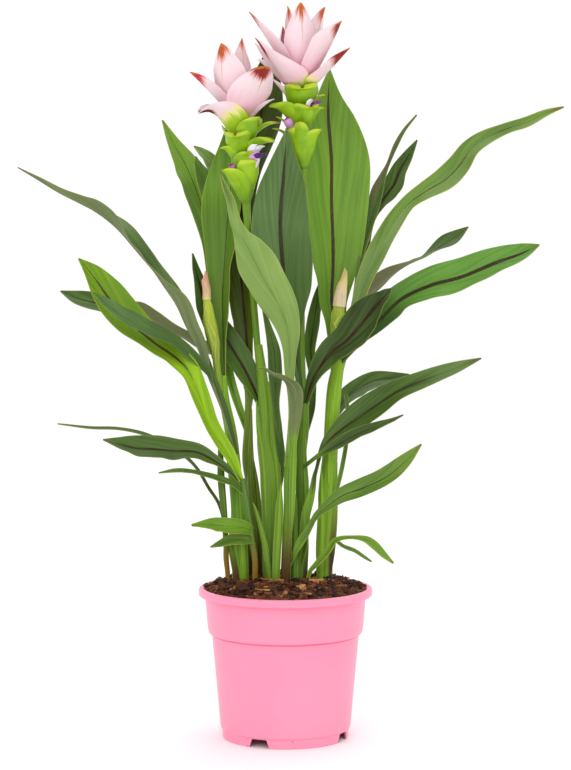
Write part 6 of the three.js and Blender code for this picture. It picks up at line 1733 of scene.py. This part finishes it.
# %% Lay the chips on the soil
# Chips in plain sight: [model, x, y, size, tone, tilt, turn]. Some lie against the rim, and the
# big pale ones lie in front of the stems.
PLACED_CHIPS = [
    (0, -54, -2, 1.1, 0.2, 10, 20), (0, -53, 9, 1.0, 0.3, 5, 80), (2, -54, -12, 1.3, 0.4, 0, 140),
    (0, 53, -3, 1.1, 0.3, 8, 200), (0, 54, 8, 0.9, 0.2, 6, 30), (2, 53.5, -12, 1.4, 0.5, 0, 75),
    (0, -46, 27, 1.2, 0.3, 12, 10), (1, -36, 38, 1.0, 0.4, 15, 60), (0, -24, 46, 1.2, 0.2, 4, 130),
    (1, -8, 51, 1.1, 0.3, 12, 170), (0, 10, 51, 1.2, 0.3, 9, 15), (1, 26, 46, 1.1, 0.5, 14, 95),
    (0, 38, 37, 1.2, 0.3, 7, 50), (0, 48, 25, 1.1, 0.4, 3, 110),
    (1, 21, -11, 2.0, 0.85, 24, 12), (1, 27, -12, 1.7, 0.8, -18, 160),
    (0, 31, -10, 1.2, 0.7, 12, 75), (1, -9, -14, 1.7, 0.7, -24, 35),
    (0, -4, -16, 1.2, 0.75, 8, 20), (1, 0, -19, 1.3, 0.6, 20, 130),
    (1, -24, -24, 1.4, 0.75, 16, 60), (3, -14, -30, 1.2, 0.95, 8, 20),
    (3, 8, -34, 1.3, 0.95, -6, 155), (3, 22, -30, 1.1, 1.0, 5, 35),
    (3, -32, -26, 1.1, 0.9, 9, 120), (1, 38, -20, 1.4, 0.7, -14, 10),
]


def scatter_chips():
    """Chips all over the soil, a few of them large, with dark and pale patches among them."""
    chips = []
    for number in range(CHIP_COUNT):
        model = chip_draw.choices(range(len(CHIP_MODELS)), CHIP_WEIGHTS)[0]
        radius = CHIP_FIELD_RADIUS * math.sqrt(chip_draw.random())
        angle = chip_draw.uniform(0, 2 * math.pi)
        x, y = radius * math.cos(angle), radius * math.sin(angle)
        size = chip_draw.uniform(0.5, 1.0) + 0.9 * chip_draw.random() ** 5
        if radius > SMALL_CHIPS_FROM:
            size *= SMALL_CHIP_SHARE
        dark = 0.3 * max(0.0, noise.noise(Vector((x, y, 3.0)) * 0.07) + 0.2) + 0.12 * (x > 30)
        tone = min(1.0, chip_draw.betavariate(1.0, 2.0) + 0.3 * (model == FIBRE)) - dark
        tilt = chip_draw.uniform(-CHIP_TILT, CHIP_TILT)
        chips.append((model, x, y, size, tone, tilt, chip_draw.uniform(0, 360)))
    return chips + PLACED_CHIPS


parts = []
for number, (model, x, y, size, tone, tilt, turn) in enumerate(scatter_chips()):
    mesh = CHIP_MODELS[model].data.copy()
    copy = bpy.data.objects.new(f"chip_{number}", mesh)
    bpy.context.scene.collection.objects.link(copy)
    place = Matrix.Translation(Vector((x, y, soil_height(x, y) + CHIP_SIT * size)) * MM)
    tilted = Matrix.Rotation(math.radians(tilt), 4, "X")
    turned = Matrix.Rotation(math.radians(turn), 4, "Z") @ tilted
    mesh.transform(place @ turned @ Matrix.Scale(size, 4))
    keep(copy, tone=tone)
    parts.append(copy)
for model in CHIP_MODELS:
    bpy.data.objects.remove(model)
chips = join("bark_chips", parts)
chips.data.materials.append(chip_finish())
hand_over(chips, "soil", smooth_degrees=30)

# %% [markdown]

# %% Update the view layer
bpy.context.view_layer.update()
